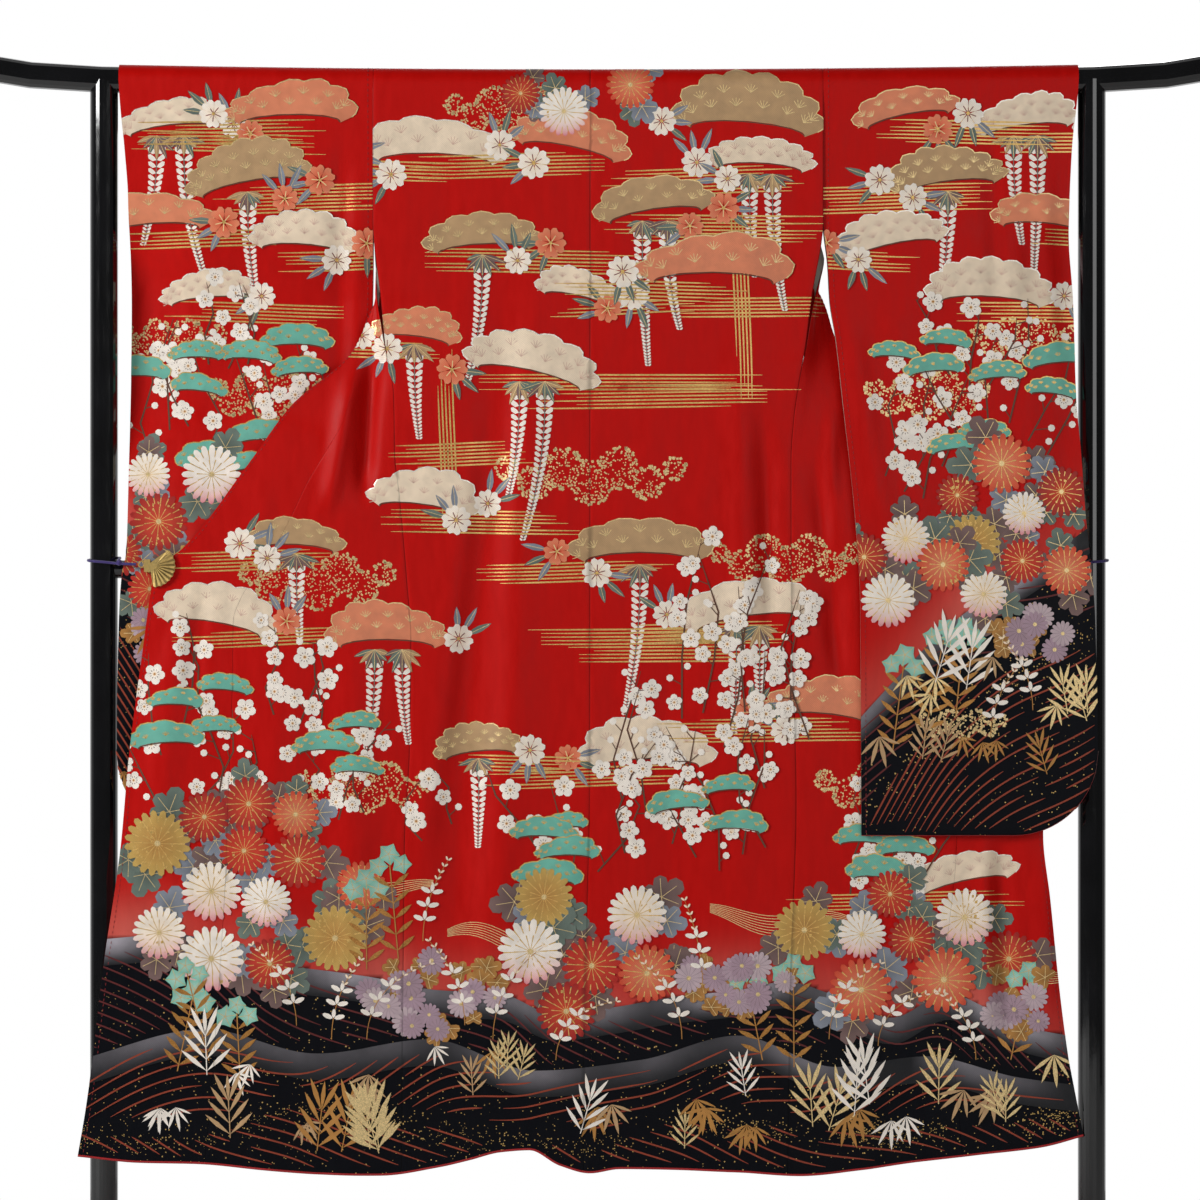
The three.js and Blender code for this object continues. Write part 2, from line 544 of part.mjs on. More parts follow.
function buildBacks() {
  const over = Math.PI * RIDE;
  const paths = [1, 0.5, 0].map((behind) => -behind);
  for (let i = 1; i < OVER_STEPS; i += 1) paths.push((over * i) / OVER_STEPS);
  const levels = [RAIL_AT_POST, 1640, 1580, 1510, 1448, 1395, ...FRONT_LEVELS.filter((level) => level < 1380)];
  for (const level of levels) paths.push(over + RAIL_AT_POST - level);
  for (const [name, side] of Object.entries(SIDES)) {
    const surface = (share, path) => {
      const top = backTop(backPoint(side, share, 0).x) - GAP / 2;
      return backPoint(side, share, path < 0 ? path * top : path);
    };
    const neck = (side.sign < 0 ? NECK_LEFT : NECK_RIGHT) - BACK_SEAM[0].x;
    const half = side.sign * side.seamX(RAIL_AT_POST) - BACK_SEAM[0].x;
    const neckShare = Math.abs(neck / half);
    const blend = NECK_BLEND / Math.abs(half);
    const columns = [0, neckShare * 0.5, neckShare - blend, neckShare - blend / 2, neckShare, 0.4, 0.5, 0.6,
      0.68, 0.76, 0.84, 0.92, 1];
    piece(`back_${name}`, wallSolid(surface, columns, paths, CLOTH), SILK);
  }
}

function buildFronts() {
  for (const [name, side] of Object.entries(SIDES)) {
    const front = (share, level) => {
      const seam = level > OKUMI_TIP ? 1 : side.okumiShare(level);
      return frontPoint(side, share * seam, level);
    };
    piece(`front_${name}`, wallSolid(front, FRONT_COLUMNS, FRONT_LEVELS, CLOTH), SILK);

    const okumi = (share, level) => {
      const seam = side.okumiShare(level);
      const width = Math.abs(side.frontEdgeX(level) - side.frontSideX(level)) + 10;
      const gap = GAP * (1 + 4 * Math.exp(-(((level - GATHER) / 40) ** 2)));
      return frontPoint(side, lerp(seam + gap / width, 1, share), level);
    };
    const levels = FRONT_LEVELS.filter((level) => level < OKUMI_TIP);
    piece(`okumi_${name}`, wallSolid(okumi, [0, 0.25, 0.5, 0.75, 1], levels, CLOTH), SILK);
  }
}

// Each sleeve is two walls that meet at the bottom edge and at the top of the rail.
function buildSleeves() {
  const columns = [0, 0.1, 0.2, 0.32, 0.45, 0.58, 0.7, 0.79, 0.87, 0.93, 0.97, 1];
  const bottomGap = (GAP / 2 / sleeveHalfGap(SLEEVE_LENGTH)) * (FOLD_SHARE / (Math.PI / 2));
  const topGap = (GAP / 2 / RIDE) * ((1 - 2 * WALL_SHARE) / Math.PI);
  const climbs = [
    bottomGap, FOLD_SHARE / 3, (FOLD_SHARE * 2) / 3, FOLD_SHARE,
    0.09, 0.16, 0.25, 0.34, 0.44, 0.54, 0.62, 0.69, 0.76, 0.82, 0.89, 0.95, 1,
  ];
  const turns = climbs.map((climb) => climb * WALL_SHARE);
  for (let i = 1; i < OVER_STEPS / 2; i += 1) turns.push(WALL_SHARE + ((1 - 2 * WALL_SHARE) * i) / OVER_STEPS);
  turns.push(0.5 - topGap);
  for (const [name, side] of Object.entries(SIDES)) {
    const rear = (share, turn) => sleevePoint(side, share, turn);
    const front = (share, turn) => sleevePoint(side, share, 1 - turn);
    piece(`sleeve_${name}_back`, wallSolid(rear, columns, turns, CLOTH), SILK);
    piece(`sleeve_${name}_front`, wallSolid(front, columns, turns, CLOTH), SILK);
  }
}

// Depth of the spread front at a place on it.
function frontDepth(side, x, level) {
  const inner = side.sign * side.frontSideX(level);
  const outer = side.sign * side.frontEdgeX(level);
  return frontPoint(side, clamp01((x - inner) / (outer - inner)), level).y;
}

const COLLAR_END = 1012;       // the lowest sewn point, beside the clip
const COLLAR_TURN = 1640;      // where it leaves the fronts for the back of the neck

// One stop along the collar: its sewn edge and its free edge.
function collarOnFront(side, level) {
  const sewn = frontPoint(side, 1, level);
  const free = sewn.clone().add(new THREE.Vector3(-side.sign * COLLAR_LEAN.x, 0, -COLLAR_LEAN.z));
  const overFold = 12 * smooth((1400 - level) / 60) * smooth((level - 1130) / 60);
  const behind = COLLAR_STAND_OFF * smooth((1470 - level) / 60) + overFold;
  return { sewn, free, behind, hugs: smooth((BUNDLE - level) / 50), side };
}

function collarOnNeck(share) {
  const middle = (NECK_LEFT + NECK_RIGHT) / 2;
  const half = (NECK_RIGHT - NECK_LEFT) / 2;
  const x = middle + share * half;
  const z = railHeight(x) - backTop(x) - GAP;
  const sewn = new THREE.Vector3(x, RIDE, z);
  const free = new THREE.Vector3(middle + share * (half - COLLAR_LEAN.x), RIDE, 1618 - 8 * share * share);
  return { sewn, free, behind: 0, hugs: 0, side: null };
}

function buildCollar() {
  const levels = [COLLAR_END, ...FRONT_LEVELS.filter((level) => level > COLLAR_END && level < COLLAR_TURN).reverse()];
  const stops = [
    ...levels.map((level) => collarOnFront(SIDES.left, level)),
    ...[-1, -0.87, -0.5, 0, 0.5, 0.87, 1].map(collarOnNeck),
    ...levels.reverse().map((level) => collarOnFront(SIDES.right, level)),
  ];
  const surface = (u, v) => {
    const i = Math.min(stops.length - 2, Math.max(0, Math.floor(u)));
    const at = (stop) => {
      const along = lerp(0.012, 1, v);
      const p = stop.sewn.clone().lerp(stop.free, along);
      if (stop.side) p.y = lerp(p.y, frontDepth(stop.side, p.x, p.z), stop.hugs) + stop.behind;
      return p;
    };
    return at(stops[i]).lerp(at(stops[i + 1]), u - i);
  };
  const places = stops.map((_, i) => i);
  piece('collar', wallSolid(surface, places, [0, 0.33, 0.67, 1], COLLAR_CLOTH), SILK);
}

// ---------------------------------------------------------------- what holds the fronts out
function boxBetween(x0, x1, y0, y1, z0, z1) {
  const box = new THREE.BoxGeometry(Math.abs(x1 - x0), y1 - y0, z1 - z0);
  box.translate((x0 + x1) / 2, (y0 + y1) / 2, (z0 + z1) / 2);
  return box;
}

function fanPlate(sign, y0, y1, { from, to }) {
  const shape = new THREE.Shape();
  const ribs = 10;
  for (let i = 0; i <= 2 * ribs; i += 1) {
    const angle = THREE.MathUtils.degToRad(lerp(from, to, i / (2 * ribs)));
    const radius = FAN_RADIUS - (i % 2 === 0 ? 1.2 : 0);
    const draw = i === 0 ? 'moveTo' : 'lineTo';
    shape[draw](-sign * radius * Math.cos(angle), radius * Math.sin(angle));
  }
  shape.lineTo(sign * 5, 4);
  shape.lineTo(sign * 5, -6);
  const plate = new THREE.ExtrudeGeometry(shape, { depth: y1 - y0, bevelEnabled: false });
  plate.rotateX(Math.PI / 2);
  plate.translate(sign * CLIP_X, y1, CLIP_HEIGHT);
  return plate;
}

function buildClip(name, side, grip) {
  const { sign } = side;
  const frontJaw = toManifold(fanPlate(sign, grip - 6, grip - 3.2, FAN_OPENING));
  const rearJaw = toManifold(fanPlate(sign, grip + 4.4, grip + 6.6, REAR_JAW_OPENING));
  const hinge = toManifold(boxBetween(sign * (CLIP_X + 5), sign * (CLIP_X + 14), grip - 6, grip + 6.6,
    CLIP_HEIGHT - 9, CLIP_HEIGHT + 9));
  const frontBridge = toManifold(boxBetween(sign * (CLIP_X + 1), sign * (CLIP_X + 8), grip - 6, grip - 3.2,
    CLIP_HEIGHT - 6, CLIP_HEIGHT + 4));
  const rearBridge = toManifold(boxBetween(sign * (CLIP_X + 1), sign * (CLIP_X + 8), grip + 4.4, grip + 6.6,
    CLIP_HEIGHT - 6, CLIP_HEIGHT + 4));
  const eye = new THREE.TorusGeometry(4.4, 1, 6, 12);
  eye.rotateX(Math.PI / 2);
  eye.translate(sign * (CLIP_X + 18), grip, CLIP_HEIGHT + 2);
  const solid = frontJaw.add(rearJaw).add(hinge).add(frontBridge).add(rearBridge).add(toManifold(eye));
  piece(`clip_${name}`, fromManifold(solid), BRASS);
}

function buildTie(name, side, grip) {
  const { sign } = side;
  const loop = POST_RADIUS + TIE_RADIUS + 0.8;
  const eyeEnd = CLIP_X + 18 + 4.4 + 1 + TIE_RADIUS + GAP;
  const route = [
    { x: eyeEnd, y: grip, z: 1008 }, { x: 672, y: lerp(grip, -28.5, 0.5), z: 1008.5 },
    { x: 683, y: -28.5, z: 1009 }, { x: 694, y: -25, z: 1010 }, { x: POST_X, y: -loop, z: 1011.4 },
    { x: POST_X + 0.72 * loop, y: -0.72 * loop, z: 1012.6 }, { x: POST_X + loop, y: 0, z: 1013.8 },
    { x: POST_X + 0.72 * loop, y: 0.72 * loop, z: 1015 }, { x: POST_X, y: loop, z: 1016.2 },
    { x: POST_X - 0.72 * loop, y: 0.72 * loop, z: 1017 }, { x: POST_X - loop, y: 0, z: 1017.2 },
    { x: POST_X - loop, y: -14, z: 1016 }, { x: 684, y: -26, z: 1012 },
  ];
  const path = new THREE.CatmullRomCurve3(route.map((p) => new THREE.Vector3(sign * p.x, p.y, p.z)));
  const knot = new THREE.SphereGeometry(4.6, 10, 6);
  knot.translate(sign * 683, -28, 1010.5);
  const solid = toManifold(tube(path, TIE_RADIUS, 8, 30)).add(toManifold(knot));
  piece(`tie_${name}`, fromManifold(solid), CORD);
}

buildRail();
buildPosts();
buildMidBar();
buildFeet();
buildBacks();
buildFronts();
buildSleeves();
buildCollar();
for (const [name, side] of Object.entries(SIDES)) {
  const grip = side.frontEdgeY(CLIP_HEIGHT);
  buildClip(name, side, grip);
  buildTie(name, side, grip);
}

const model = new THREE.Group();
model.name = 'furisode_on_stand';
model.add(...meshes);

export default model;
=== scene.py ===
"""Long-sleeved silk kimono hung over the rail of a lacquered rack stand, its back to the -Y side."""
import math
import random

import bmesh
import bpy
import numpy as np
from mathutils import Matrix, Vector, noise


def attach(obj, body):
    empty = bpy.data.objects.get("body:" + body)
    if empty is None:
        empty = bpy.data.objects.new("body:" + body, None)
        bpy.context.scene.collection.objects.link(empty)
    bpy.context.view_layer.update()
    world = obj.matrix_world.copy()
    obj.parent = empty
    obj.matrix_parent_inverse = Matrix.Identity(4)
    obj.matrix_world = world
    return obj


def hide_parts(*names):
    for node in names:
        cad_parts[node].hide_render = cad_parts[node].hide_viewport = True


bl_info = {
    "name": "Furisode on a Rack Stand",
    "version": (1, 0, 0),
    "blender": (4, 5, 0),
    "location": "View3D > Sidebar > Furisode",
    "description": "Builds a patterned silk furisode on its lacquered stand",
    "category": "Object",
}

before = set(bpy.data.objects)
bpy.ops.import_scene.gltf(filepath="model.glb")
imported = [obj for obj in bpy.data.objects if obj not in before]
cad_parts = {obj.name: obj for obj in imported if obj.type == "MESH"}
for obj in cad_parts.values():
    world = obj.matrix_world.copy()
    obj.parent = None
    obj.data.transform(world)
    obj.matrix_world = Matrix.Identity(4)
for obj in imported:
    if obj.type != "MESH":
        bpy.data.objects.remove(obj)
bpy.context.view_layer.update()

MM = 0.001

# ------------------------------------------------------------------ sizes, in millimetres
GAP = -0.1             # edges that are sewn together just meet
SEAM_DIP = 0.5         # how far a sewn edge turns in
# Painted shade: a sewn edge is darkened in colour, standing in for the shadow in the seam.
PAINTED_SEAM_SHADE = 0.3       # share of its lightness that the cloth keeps there
# Painted shade on the motifs that lie on a sewn edge.
PAINTED_SEAM_INK_SHADE = 0.6   # and the motifs on it
CLOTH = 1.6
COLLAR_CLOTH = 2.4
RAIL_RADIUS = 19
RAIL_MIDDLE = 1695
RAIL_AT_POST = 1702
RAIL_BEND_START = 720
RAIL_BEND_RADIUS = 1000
POST_X = 707
RIDE = RAIL_RADIUS + CLOTH / 2 + 1.2
SHOULDER_DROP = 47
NECK_DROP = 22
NECK_LEFT = -101
NECK_RIGHT = 79
NECK_BLEND = 12
HEM_LEVEL = 150
HEM_START = 300
BACK_DEPTH = -22
BACK_DROP = 1552       # length of the back below the rail
SLEEVE_BOTTOM = 622
SLEEVE_DROP = 1085     # from the rail to the bottom fold
SLEEVE_CORNER = 120
CUFF_OPENING = 230
CUFF_EDGE_HALF_GAP = 1.2
COLLAR_STAND_OFF = 2.6
COLLAR_LEAN_X = 41
COLLAR_LEAN_Z = 36.5
BUNDLE = 1386          # where the fronts are drawn together beside the back
OKUMI_TIP = 1455
OKUMI_TOP = 1448
COLLAR_END = 1012
COLLAR_TOP = 1638      # where its front half meets the neck
FRONT_TOP = 1654.7


def lerp(a, b, t):
    return a + (b - a) * t


def clamp01(t):
    return min(1.0, max(0.0, t))


def smooth(t):
    t = clamp01(t)
    return t * t * (3 - 2 * t)


def ease_out(t):
    return 1 - (1 - t) ** 2


def curve(rows):
    """A smooth curve through rows of (place, value) that never overshoots them."""
    rows = sorted(rows)
    k = [row[0] for row in rows]
    v = [row[1] for row in rows]
    last = len(rows) - 1
    chord = [(v[i + 1] - v[i]) / (k[i + 1] - k[i]) for i in range(last)]
    slope = []
    for i in range(last + 1):
        if i in (0, last):
            slope.append(chord[min(i, last - 1)])
        elif chord[i - 1] * chord[i] <= 0:
            slope.append(0.0)
        else:
            slope.append(2 * chord[i - 1] * chord[i] / (chord[i - 1] + chord[i]))

    def at(place):
        if place <= k[0]:
            return v[0]
        if place >= k[last]:
            return v[last]
        i = 0
        while place > k[i + 1]:
            i += 1
        span = k[i + 1] - k[i]
        t = (place - k[i]) / span
        return (v[i] * (1 + 2 * t) * (1 - t) ** 2 + slope[i] * span * t * (1 - t) ** 2
                + v[i + 1] * t * t * (3 - 2 * t) + slope[i + 1] * span * t * t * (t - 1))

    return at


class Side:
    """The edges of one half of the garment. x is a distance from the middle plane."""

    def __init__(self, name, sign, side_seam, front_side, front_edge, okumi_seam, sleeve_inner,
                 sleeve_outer, sleeve_hang):
        self.name = name
        self.sign = sign
        self.seam_x = curve(side_seam)
        self.front_side_out = curve([(z, out) for z, out, y in front_side])
        self.front_side_y = curve([(z, y) for z, out, y in front_side])
        self.front_edge_x = curve([(z, x) for z, x, y in front_edge])
        self.front_edge_y = curve([(z, y) for z, x, y in front_edge])
        self.okumi_share = curve(okumi_seam)
        self.inner_x = curve(sleeve_inner)
        self.outer_x = curve(sleeve_outer)
        self.hang_y = curve(sleeve_hang)

    def front_side_x(self, z):
        return self.seam_x(z) + self.front_side_out(z)


LEFT = Side(
    "left", -1,
    # height, x
    side_seam=[(1702, 321.5), (1502, 321.5), (1386, 310), (1317, 303), (1251, 292), (1164, 290),
               (1100, 283), (986, 273), (900, 267), (743, 269), (614, 276), (150, 280)],
    # height, out from the side seam, depth
    front_side=[(1655, -0.15, 21), (1502, -0.15, 20), (1440, 2, 4), (1386, 5, -18), (1340, 2.2, -20.5),
                (1300, 0.03, -22), (1200, 0.03, -23), (150, 0.03, -24)],
    # height, x, depth
    front_edge=[(1655, 101, 21), (1502, 224, 9), (1386, 317, -3), (1311, 352, -8), (1236, 437, -17),
                (1154, 497, -25), (1026, 597, -34), (1003, 632, -34), (974, 637, -35), (886, 649, -37),
                (729, 669, -38), (600, 681, -37), (443, 704, -35), (229, 730, -32), (150, 742, -31)],
    # height, share of the spread front
    okumi_seam=[(1479, 1), (1386, 0.86), (1311, 0.74), (1250, 0.45), (1214, 0.44), (1171, 0.5),
                (1110, 0.565), (1026, 0.587), (1003, 0.582), (983, 0.614), (960, 0.648), (930, 0.672),
                (843, 0.656), (671, 0.635), (386, 0.61), (150, 0.61)],
    # height, x
    sleeve_inner=[(1702, 321.5), (1502, 321.5), (1390, 323), (1300, 331), (1200, 346), (1071, 360),
                  (957, 366), (622, 368)],
    sleeve_outer=[(1720, 686), (1671, 683), (1600, 676), (1529, 671), (1385, 669), (1171, 671),
                  (1029, 673), (993, 680), (929, 684), (770, 687), (622, 687)],
    # drop below the rail, depth
    sleeve_hang=[(0, 0), (200, 0), (316, 24), (450, 19), (620, -15), (690, -21.5), (760, -21),
                 (1085, -18)],
)
RIGHT = Side(
    "right", 1,
    side_seam=[(1702, 322), (1502, 322), (1381, 304), (1324, 297), (1261, 286), (1216, 280),
               (1157, 276), (957, 276), (671, 283), (386, 274), (150, 271)],
    front_side=[(1655, -0.15, 21), (1502, -0.15, 20), (1472, -0.6, 12), (1440, 9, 0), (1386, 4.5, -18),
                (1340, 2, -20.5), (1280, 0.3, -22), (1200, 0.03, -22), (150, 0.03, -22)],
    front_edge=[(1655, 79, 21), (1502, 216, 16), (1440, 275, 12), (1386, 322, 8), (1326, 343, 3),
                (1236, 437, -8), (1154, 497, -16), (1026, 597, -25), (1003, 632, -25), (960, 636, -25),
                (622, 636, -20), (529, 646, -18), (386, 661, -16), (257, 679, -16), (150, 694, -16)],
    okumi_seam=[(1479, 1), (1386, 0.86), (1311, 0.74), (1250, 0.52), (1110, 0.565), (1024, 0.59),
                (940, 0.67), (617, 0.652), (440, 0.59), (150, 0.592)],
    sleeve_inner=[(1702, 322), (1502, 322), (1436, 328.6), (1386, 331), (1326, 340), (1243, 349),
                  (1071, 367), (957, 374), (622, 376)],
    sleeve_outer=[(1720, 688), (1686, 686), (1600, 677), (1493, 673), (1386, 679), (1243, 683),
                  (1171, 689), (1071, 696), (1000, 704), (929, 709), (735, 713), (622, 713)],
    sleeve_hang=[(0, 0), (200, 0), (330, -14), (700, -37), (1085, -30)],
)
SIDES = (LEFT, RIGHT)

back_seam_x = curve([(1702, -11), (700, -12), (300, -20), (150, -20)])
# x, height of the hem line across the whole spread skirt
hem_height = curve([
    (-745, 165), (-655, 156), (-570, 154), (-483, 146), (-397, 139), (-311, 137), (-226, 149),
    (-183, 159), (-140, 170), (-97, 173), (-54, 151), (-11, 140), (31, 146), (203, 141), (289, 136),
    (374, 144), (460, 156), (546, 166), (631, 176), (700, 194)])
# drop below the rail, half distance between the two walls of a sleeve
sleeve_half_gap = curve([(0, 21), (200, 20), (400, 8.5), (700, 3.4), (1085, 2.2)])

# Folds: x and height of the top end, of the bottom end, width, and rise toward -Y.
SKIRT_FOLDS = [
    (-118, 1500, -226, 300, 34, -9), (-88, 1560, -150, 300, 30, 6), (-160, 1300, -262, 520, 20, 3),
    (200, 1390, 214, 800, 20, 6), (238, 1250, 250, 860, 13, -6), (100, 1120, 120, 150, 46, -4),
    (-320, 1345, -336, 1080, 14, -15), (-349, 1300, -388, 1060, 14, 8), (-562, 985, -580, 800, 14, -5),
    (-600, 980, -640, 520, 24, 6), (-450, 900, -470, 150, 36, 7), (-345, 1000, -352, 150, 28, 5),
    (312, 1180, 352, 790, 16, -9), (336, 1290, 330, 900, 12, 4), (574, 640, 590, 300, 14, -7),
    (552, 640, 556, 300, 12, 4), (628, 640, 650, 300, 16, 5), (420, 600, 430, 150, 36, -4),
]
SLEEVE_FOLDS = [
    (-366, 1660, -372, 1040, 16, -5), (-343, 1640, -352, 1100, 12, 3), (-583, 1690, -545, 1600, 9, -2),
    (-450, 1600, -455, 900, 40, 3), (560, 1671, 576, 1300, 16, -4), (630, 1640, 655, 1200, 16, 4),
    (352, 1400, 420, 1000, 18, 4), (480, 1500, 500, 760, 44, -4),
]


def fold_rise(folds, x, z):
    rise = 0.0
    for x1, z1, x2, z2, width, height in folds:
        along = (z1 - z) / (z1 - z2)
        if along <= 0:
            continue
        fade = smooth(along / 0.3) * (1 if z2 <= HEM_LEVEL else smooth((1 - along) / 0.3))
        away = (x - lerp(x1, x2, clamp01(along))) / width
        rise += height * fade * math.exp(-away * away)
    return rise


def crumple(x, z, seed, calm=1.0):
    """Shallow uneven waves that hanging silk keeps all over, mostly upright."""
    broad = noise.noise(Vector((x / 62 + seed, z / 260, seed)))
    narrow = noise.noise(Vector((x / 27 - z / 190, z / 120 + seed, seed + 5)))
    fine = noise.noise(Vector((x / 13 + z / 70, z / 46 - seed, seed + 9)))
    return (1.8 * broad + 1.0 * narrow + 0.2 * fine) * calm


def rail_height(x):
    bend = max(0.0, abs(x) - RAIL_BEND_START)
    sag = (RAIL_AT_POST - RAIL_MIDDLE) * (x / POST_X) ** 2
    return RAIL_MIDDLE + sag + bend ** 2 / (2 * RAIL_BEND_RADIUS)


def along_hem(x, level):
    if level >= HEM_START:
        return level
    return HEM_START - (HEM_START - level) * (HEM_START - hem_height(x)) / (HEM_START - HEM_LEVEL)


# ------------------------------------------------------------------ cloth surfaces
def back_depth(side, share, x, z):
    seam_y = side.front_side_y(z) if z < BUNDLE else BACK_DEPTH
    held = min(seam_y, -20.5) - (1.2 if z > 1300 else 0)
    edge_y = lerp(BACK_DEPTH, held, smooth((share - 0.6) / 0.4))
    calm = smooth((RAIL_AT_POST - z) / 120) * (1 - smooth((share - 0.9) / 0.1))
    clear = 0.45 + 0.55 * smooth((abs(z - 1001) - 30) / 60)
    return (edge_y - fold_rise(SKIRT_FOLDS, x, z) * smooth((RAIL_AT_POST - z) / 120)
            - crumple(x, z, 3, calm * clear))


def back_point(side, share, path):
    """share runs from the centre back seam to the side seam, path from the shoulder line over and down."""
    over = math.pi * RIDE
    level = RAIL_AT_POST + min(0, path) - max(0, path - over)
    middle = back_seam_x(level) + side.sign * GAP / 2
    edge = side.sign * (side.seam_x(level) - GAP / 2)
    x = lerp(middle, edge, share)
    rail = rail_height(x)
    if path < 0:
        return x, RIDE, rail + path
    if path < over:
        return x, RIDE * math.cos(path / RIDE), rail + RIDE * math.sin(path / RIDE)
    settle = clamp01((path - over) / 60)
    z = lerp(rail - (path - over), along_hem(x, level), settle)
    return x, lerp(-RIDE, back_depth(side, share, x, level), settle), z


def back_top(x):
    into_neck = min(x - NECK_LEFT, NECK_RIGHT - x) / NECK_BLEND
    return lerp(SHOULDER_DROP, NECK_DROP, smooth(into_neck))


def front_point(side, share, level):
    """share runs from the side seam to the front edge: front body and overlap panel together."""
    inner = side.front_side_x(level)
    outer = side.front_edge_x(level)
    bundle = math.exp(-((level - 1392) / 55) ** 2)
    gather = 2.2 * bundle * math.sin(5 * math.pi * share) * (1 - smooth((share - 0.65) / 0.15))
    x = side.sign * (lerp(inner, outer, share) + gather)
    low = level < BUNDLE
    rise = fold_rise(SKIRT_FOLDS, x, level) if low else 0.0
    bow = ease_out(share) if low else share
    calm = smooth((BUNDLE - level) / 90) if low else 0.4 * smooth((level - 1450) / 90)
    calm *= smooth(share / 0.08) * (1 - 0.5 * smooth((share - 0.9) / 0.1))
    y = lerp(side.front_side_y(level), side.front_edge_y(level), bow) - rise - crumple(x, level, 3, calm)
    sag = (rail_height(x) - RAIL_AT_POST) * smooth((level - 1450) / 180)
    return x, y, along_hem(x, level) + sag


def sleeve_bottom(share, width):
    in_from_edge = max(0.0, (1 - share) * width)
    if in_from_edge >= SLEEVE_CORNER:
        return SLEEVE_BOTTOM
    rest = SLEEVE_CORNER ** 2 - (SLEEVE_CORNER - in_from_edge) ** 2
    return SLEEVE_BOTTOM + SLEEVE_CORNER - math.sqrt(max(0.0, rest))


WALL_TURN = 0.45       # share of the way round a sleeve that each wall takes
RAIL_TURN = 0.1        # and the fold over the rail
FOOT_CLIMB = 0.04      # share of a wall's climb in the rounding at its foot
FOOT_STEP = 0.0066     # between the rows of that rounding


def sleeve_point(side, share, turn):
    """turn goes once round the bag: 0 at the bottom fold, over the rail at a half, down the rear wall."""
    width = side.outer_x(SLEEVE_BOTTOM) - side.inner_x(SLEEVE_BOTTOM)
    bottom = sleeve_bottom(share, width)
    wall = turn < WALL_TURN or turn > 1 - WALL_TURN
    climb = (turn if turn < WALL_TURN else 1 - turn) / WALL_TURN
    fold_height = sleeve_half_gap(SLEEVE_DROP)
    rail_guess = RAIL_AT_POST - 2
    level = rail_guess
    if wall:
        level = lerp(bottom + fold_height, rail_guess, clamp01((climb - FOOT_CLIMB) / 0.96))
    x = side.sign * lerp(side.inner_x(level) + GAP / 2, side.outer_x(level), share)
    rail = rail_height(x)
    if not wall:
        angle = (turn - WALL_TURN) / RAIL_TURN * math.pi
        return x, -RIDE * math.cos(angle), rail + RIDE * math.sin(angle)
    drop = rail_guess - level
    closing = smooth((share - 0.7) / 0.3) * smooth((drop - CUFF_OPENING + 40) / 50)
    half_gap = lerp(sleeve_half_gap(drop), CUFF_EDGE_HALF_GAP, closing)
    rise = fold_rise(SLEEVE_FOLDS, x, level) * smooth(drop / 80)
    rise += crumple(x, level, 17 + side.sign, 0.9 * smooth(drop / 120))
    middle = side.hang_y(drop) - rise
    z = level + (rail - rail_guess) * clamp01(1 - drop / 60)
    if climb >= FOOT_CLIMB:
        return x, middle + (-1 if turn < WALL_TURN else 1) * half_gap, z
    angle = climb / FOOT_CLIMB * (math.pi / 2) * (1 if turn < WALL_TURN else -1)
    return x, middle - half_gap * math.sin(angle), z - fold_height * math.cos(angle)


def front_depth(side, x, level):
    inner = side.sign * side.front_side_x(level)
    outer = side.sign * side.front_edge_x(level)
    return front_point(side, clamp01((x - inner) / (outer - inner)), level)[1]


def collar_front_stop(side, level):
    """One stop along the collar: its sewn edge, its free edge, how far behind, how it hugs the front."""
    sewn = front_point(side, 1, level)
    free = (sewn[0] - side.sign * COLLAR_LEAN_X, sewn[1], sewn[2] - COLLAR_LEAN_Z)
    over_fold = 12 * smooth((1400 - level) / 60) * smooth((level - 1130) / 60)
    behind = COLLAR_STAND_OFF * smooth((1470 - level) / 60) + over_fold
    return sewn, free, behind, smooth((BUNDLE - level) / 50), side


def collar_neck_stop(share):
    middle = (NECK_LEFT + NECK_RIGHT) / 2
    half = (NECK_RIGHT - NECK_LEFT) / 2
    x = middle + share * half
    sewn = (x, RIDE, rail_height(x) - back_top(x) - GAP)
    free = (middle + share * (half - COLLAR_LEAN_X), RIDE, 1618 - 8 * share * share)
    return sewn, free, 0.0, 0.0, None


def collar_stop_point(stop, across):
    sewn, free, behind, hugs, side = stop
    x, y, z = (lerp(a, b, lerp(0.012, 1, across)) for a, b in zip(sewn, free))
    if side:
        y = lerp(y, front_depth(side, x, z), hugs) + behind
    return x, y, z


# ------------------------------------------------------------------ grids and walls
def edged(shares, inset):
    """The same shares of a width with two more close to its edges, where the cloth turns in."""
    return [shares[0], inset, *shares[1:-1], 1 - inset, shares[-1]]


def steps(start, end, size):
    count = max(1, math.ceil(abs(end - start) / size))
    return [lerp(start, end, i / count) for i in range(count + 1)]


def grid_normals(points, ring):
    if ring:
        padded = np.concatenate([points[:, -1:], points, points[:, :1]], axis=1)
        along = np.gradient(padded, axis=1)[:, 1:-1]
    else:
        along = np.gradient(points, axis=1)
    across = np.gradient(points, axis=0)
    normals = np.cross(across, along)
    return normals / np.maximum(np.linalg.norm(normals, axis=2, keepdims=True), 1e-9)


def built_mesh(name, points, faces, materials, slots=None, smooth=None):
    mesh = bpy.data.meshes.new(name)
    mesh.from_pydata(points, [], faces)
    for material in materials:
        mesh.materials.append(material)
    if slots:
        mesh.polygons.foreach_set("material_index", slots)
    if smooth:
        mesh.polygons.foreach_set("use_smooth", smooth)
    return mesh


